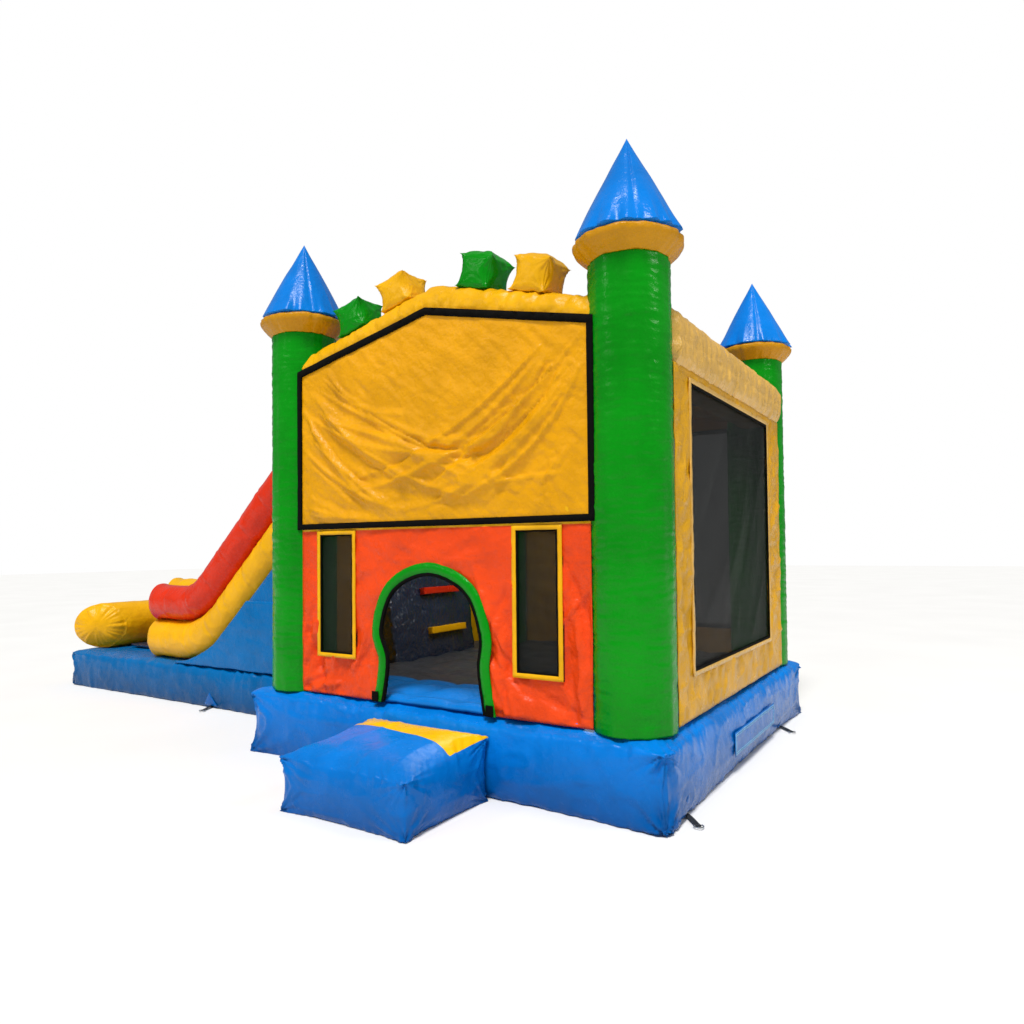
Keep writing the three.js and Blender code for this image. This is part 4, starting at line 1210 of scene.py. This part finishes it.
def slide_body():
    """The cushion under the lane and the shoulder that stands out on its near side."""
    near, far, end = 0.625, 2.265, -0.336
    floor, under = 0.4505, 0.018
    line = slide_line(-under, FOOT, end)[3:]
    toe = (FOOT + 0.24, floor)
    slab("slide_body_cushion", [[toe] + line + [(end, floor)]], near, far, "xz", "deep", 0.045, 12, 0.02,
         0.0, 0.1, replaces=["slide_body"], slot="vinyl_blue")
    top = 1.16
    under_top = [p for p in line if p[1] < top]
    cut_x = under_top[-1][0] + (top - under_top[-1][1]) / math.tan(TILT)
    ledge = [toe] + under_top + [(cut_x, top), (end, top), (end, floor)]
    body = slab("slide_shoulder", [ledge], 0.592, 0.63, "xz", "deep", 0.026, 5, 0.014, 0.012, 0.08,
                slot="vinyl_blue")
    rumple(body, lambda p, n: 0.006 * noise(p, (0.2, 0.2, 0.1), 181)
           + 0.004 * ridges(p, (0.15, 0.15, 0.08), 182))


def slide_lane():
    low, high = place("slide_lane")
    end, above, thick = -0.336, 0.045, 0.03
    path = spread([(x, 0, z) for x, z in slide_line(above, low[0], end)], 160)
    ys = np.linspace(low[1], high[1], 44)
    x, y = np.meshgrid(path[:, 0], ys, indexing="ij")
    z = np.repeat(path[:, 2:], len(ys), 1)
    flat = np.stack([x, y, z], -1).reshape(-1, 3)
    sag = 0.006 * noise(flat, (0.2, 0.25, 0.2), 183) - 0.004 * ridges(flat, (0.14, 0.3, 0.14), 184)
    upper = flat + np.array([0, 0, 1]) * np.minimum(sag, 0.004)[:, None]
    lower = flat - np.array([0, 0, thick])
    add_mesh("slide_lane_sheet", np.concatenate([upper, lower]), two_sided(len(path), len(ys)), "navy",
             replaces=["slide_lane"], slot="vinyl_navy")


slide_body()
slide_lane()


def pool_wall():
    """A tube across the pool's end. Its near face is cut at a slant and puffs out between spokes."""
    r, x, z, back, front, slant = 0.28, -4.755, 0.742, 1.849, 0.82, math.tan(math.radians(34.6))
    out_x, out_y = 0.568, 0.823  # the slanted face looks this way, in x and in -y
    sides, face_rows, body_rows = 96, 26, 90
    a = np.arange(sides) * 2 * math.pi / sides
    rows = []
    for f in np.linspace(0.03, 1, face_rows):
        spokes = noise(line3(np.cos(a) * 4, np.sin(a) * 4, 0), (0.4, 0.4, 1), 191) * f ** 5 * (1 - f) * 0.3
        bulge = 0.12 * (1 - f ** 2.6) + spokes - 0.012 * np.exp(-((f - 0.93) / 0.02) ** 2)
        bulge = bulge - 0.03 * np.exp(-((np.sin(a) + 1) / 0.12) ** 2) * f
        across, up = r * f * np.cos(a), r * f * np.sin(a)
        rows.append(np.stack([x + across + out_x * bulge, front + slant * across - out_y * bulge, z + up], 1))
    for t in np.linspace(0, 1, body_rows + 1)[1:]:
        swell = 0.012 * (1 - np.exp(-t / 0.04)) + 0.012 * gather(a * r, t * (back - front), 0.05, 0.1, 192)
        across, up = (r + swell) * np.cos(a), (r + swell) * np.sin(a)
        start = front + slant * across
        rows.append(np.stack([x + across, start + (back - start) * t, z + up], 1))
    verts = np.concatenate(rows + [[[x + 0.068, front - 0.099, z]], [[x, back, z]]])
    obj = add_mesh("pool_wall_tube", verts, fan_ends(len(rows), sides), "yellow", replaces=["pool_wall"],
                   slot="vinyl_yellow")
    rumple(obj, lambda p, n: 0.004 * noise(p, 0.09, 193))


pool_wall()


# ---- climbing wall ----
FACE_FOOT, FACE_TOP = 0.06, -0.17  # how far in the leaning face is at the mat and at its top
FACE_LEAN = math.atan2(0.23, 1.555)  # 0.23 m back over 1.555 m up
BACK_CLEAR = 0.024


def climbing_wall():
    """A leaning cushion with a bar of each colour across it."""
    low, high = place("climbing_wall")
    ring = [(low[0], low[2]), (FACE_FOOT, low[2]), (FACE_TOP, high[2]), (low[0], high[2])]
    obj = slab("climb_wall_cushion", [ring], low[1], high[1], "xz", "navy", 0.035, 40, 0.02, 0.012, 0.1,
               replaces=["climbing_wall"], slot="vinyl_navy")
    rumple(obj, lambda p, n: 0.009 * noise(p, (0.2, 0.12, 0.1), 201)
           + 0.011 * ridges(p, (0.3, 0.16, 0.12), 202) - 0.004)
    for vertex in obj.data.vertices:  # its back stays clear of the left sheet
        vertex.co.x = max(vertex.co.x, low[0] + ORIGIN[0] + BACK_CLEAR)
    turn = np.array(Matrix.Rotation(-FACE_LEAN, 3, "Y"))
    half = np.array([0.036, 0.3, 0.036])
    for mat, seed in (("red", 205), ("yellow", 209)):
        node = f"climb_hold_{mat}"

        def stand(p, q, centre=middle(node)):
            return p @ turn.T + centre
        cushion(f"{node}_bar", -half, half, mat, 0.01, seed, corner=0.02, inset=0.004, drop=0.004, roll=0.01,
                crinkle=0.002, period=0.02, reach=0.02, shape=stand, replaces=[node], slot=f"vinyl_{mat}")


climbing_wall()


# ---- sleeve, anchors, flap ----
def sleeve():
    low, high = place("inflation_sleeve")
    c = (low + high) / 2
    radius = (high[0] - low[0]) / 2
    path = spread([(c[0], low[1], c[2]), (c[0], high[1], c[2])], 110)

    def relief(s, a):
        creases = noise(around(s, a, 1.5), (0.06, 0.5, 0.5), 211)
        tie = gather(a * radius, (high[1] - low[1]) - 0.03 - s, 0.03, 0.09, 212)
        return 0.006 * creases * np.clip((0.6 - s) / 0.06, 0, 1) - 0.002 + 0.003 * np.minimum(tie, 0)
    tube("sleeve", path, radius, "blue", 64, relief, replaces=["inflation_sleeve"], slot="vinyl_blue")


sleeve()

SEWN_IN, PROUD = 0.005, 0.003  # a strap starts this far inside its wall, and its patch stands this far out
# Each strap's place on the ground and the way it points, in degrees.
TABS = {"front_right": (BASE_HIGH[0] - SEWN_IN, 0.06, -50), "back_right": (BASE_HIGH[0] - SEWN_IN, 2.68, -50),
        "slide_front": (-2.12, SLIDE_LOW[1] + SEWN_IN, -63),
        "slide_back": (-2.12, SLIDE_HIGH[1] - SEWN_IN, 63)}


def anchor(name, x, y, degrees):
    """The sewn strap that holds a ring, with the patch that spreads its pull."""
    turn = np.array(Matrix.Rotation(math.radians(degrees), 3, "Z"))
    foot = np.array([x, y, 0.014])
    s = np.linspace(-0.05, 0.15, 24)
    loop = [(u, 0.003 + 0.001 * math.sin(u * 40)) for u in s]
    eye = 0.0085  # the radius that the strap turns round the ring with
    loop += [(0.15 + eye * math.cos(t), eye * math.sin(t)) for t in np.linspace(0.6, -math.pi * 0.62, 14)]
    outer = np.array(loop)
    tangent = np.gradient(outer, axis=0)
    tangent /= np.linalg.norm(tangent, axis=1)[:, None]
    under = outer + np.stack([tangent[:, 1], -tangent[:, 0]], 1) * 0.002
    widths = np.linspace(-0.018, 0.018, 7)
    verts = []
    for side in (outer, under):
        for u, z in side:
            verts += [(u, w, z) for w in widths]
    verts = np.array(verts) @ turn.T + foot
    add_mesh(f"anchor_strap_{name}", verts, two_sided(len(outer), len(widths)), "strap", slot="tape_black")
    on_base = name.endswith("right")
    foot, top, inset = (y, BASE_HIGH[2], 0.056) if on_base else (x, SLIDE_HIGH[2], 0.037)
    patch = [(foot - 0.11, 0.03), (foot + 0.11, 0.03), (foot, 0.17)]
    face, inward = {"slide_front": (SLIDE_LOW[1] - PROUD, 1), "slide_back": (SLIDE_HIGH[1] + PROUD, -1)}.get(
        name, (BASE_HIGH[0] + PROUD, -1))

    def follow(u, v, distance, along):
        return inward * inset * (1 - np.clip(1 - (2 * v / top - 1) ** 2, 0, 1) ** 0.6)
    slab(f"anchor_patch_{name}", [patch], face - 0.003, face + 0.003, "yz" if on_base else "xz", "pale", 0.02,
         2, 0.002, 0.001, 0.01, fold=follow, slot="vinyl_blue")


for name, (x, y, degrees) in TABS.items():
    anchor(name, x, y, degrees)


def flap():
    """The flap over the zip, with two rows of stitches that lift with it."""
    low, high = place("deflation_flap")
    box = (low[1], high[1], low[2], high[2])
    ripple = rippled(0.003, (0.12, 0.1, 1), 221)
    outline = rect(*box)
    obj = slab("zip_flap", [outline], low[0], high[0] - 0.001, "yz", "blue", 0.02, body="flap", fold=ripple,
               replaces=["deflation_flap"], slot="vinyl_blue")
    for inset in (0.012, 0.026):
        rings = [grown(box, -inset), grown(box, -inset - 0.0045)]
        slab(f"flap_stitch_{int(inset * 1000)}", rings, high[0] - 0.001, high[0] + 0.0015, "yz",
                         "stitch", 0.02, body="flap", fold=ripple, slot="vinyl_blue")


flap()

# ---- hard parts keep their CAD shape ----
KEPT = {"blower_housing": "plastic", "blower_motor": "motor", "blower_switch": "switch",
        "blower_grille": "steel", "blower_impeller": "steel", "zip_slider": "steel", "sleeve_strap": "strap"}
KEPT.update({f"anchor_ring_{name}": "steel" for name in TABS})
for node, mat in KEPT.items():
    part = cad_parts[node]
    if not part.material_slots:
        part.data.materials.append(MATS[mat])
    for material_slot in part.material_slots:
        material_slot.material = MATS[mat]


# ---- floor, light and camera ----
def add_light(name, kind, power, colour, direction, at=(0, 0, 0)):
    light = bpy.data.lights.new(name, kind)
    light.energy = power
    light.color = colour
    obj = bpy.data.objects.new(name, light)
    bpy.context.scene.collection.objects.link(obj)
    obj.location = at
    obj.rotation_euler = Vector(direction).to_track_quat("-Z", "Y").to_euler()
    return light


def stage():
    """A pale floor, a world that looks white but lights softly, a high sun and three lamps."""
    bpy.ops.mesh.primitive_plane_add(size=120, location=(0, 0, 0))
    floor = bpy.context.object
    floor.name = "studio_floor"
    n = Nodes("studio floor")
    n.paint("Base Color", n.grey(n.noise(0.6, 2), (0.3, 0.86), (0.7, 0.89)))
    n.set(Roughness=0.9, Specular_IOR_Level=0.1)
    floor.data.materials.append(n.mat)
    world = bpy.data.worlds.new("studio")
    bpy.context.scene.world = world
    world.use_nodes = True
    tree = world.node_tree
    lit = tree.nodes["Background"]
    lit.inputs["Color"].default_value = (0.93, 0.96, 1.0, 1)
    lit.inputs["Strength"].default_value = 0.29
    seen = tree.nodes.new("ShaderNodeBackground")
    seen.inputs["Color"].default_value = (1, 1, 1, 1)
    seen.inputs["Strength"].default_value = 1.0
    ray = tree.nodes.new("ShaderNodeLightPath")
    both = tree.nodes.new("ShaderNodeMixShader")
    tree.links.new(ray.outputs["Is Camera Ray"], both.inputs["Fac"])
    tree.links.new(lit.outputs["Background"], both.inputs[1])
    tree.links.new(seen.outputs["Background"], both.inputs[2])
    tree.links.new(both.outputs["Shader"], tree.nodes["World Output"].inputs["Surface"])
    bpy.context.scene.view_settings.view_transform = "Standard"

    sun = add_light("key", "SUN", 3.1, (1, 0.98, 0.94), (-0.16, 0.52, -1.0))
    sun.angle = math.radians(16)
    inner = Vector(ORIGIN) + Vector((MID_X, TOWER_Y / 2, 2.7))
    for name, at, target, size, power, colour in (
            ("side", (10, -1, 7), (1, 0, 2), 1.6, 110, (1, 0.98, 0.95)),
            ("spark", (-3, -10, 8), (1, 0, 1.5), 1.0, 85, (1, 1, 1)),
            ("inner", inner, inner - Vector((0, 0, 1)), 1.8, 40, (1, 0.97, 0.9))):
        lamp = add_light(name, "AREA", power, colour, Vector(target) - Vector(at), at)
        lamp.shape = "DISK"
        lamp.size = size


stage()

CAMERA_PLACE = (4.934, -4.416, 1.694)  # in the house frame
YAW, PITCH, ROLL = math.radians(32.27), math.radians(1.52), math.radians(-0.58)


def camera():
    data = bpy.data.cameras.new("view")
    data.sensor_width = 36
    data.lens = 25.79
    data.shift_x = -0.0018
    data.shift_y = 0.0166
    data.clip_end = 200
    obj = bpy.data.objects.new("view", data)
    bpy.context.scene.collection.objects.link(obj)
    forward = Vector((-math.sin(YAW) * math.cos(PITCH), math.cos(YAW) * math.cos(PITCH), math.sin(PITCH)))
    level = Vector((math.cos(YAW), math.sin(YAW), 0))
    upright = level.cross(forward)
    right = math.cos(ROLL) * level + math.sin(ROLL) * upright
    up = -math.sin(ROLL) * level + math.cos(ROLL) * upright
    turn = Matrix((right, up, -forward)).transposed().to_4x4()
    obj.matrix_world = Matrix.Translation(Vector(CAMERA_PLACE) + Vector(ORIGIN)) @ turn
    bpy.context.scene.camera = obj


camera()
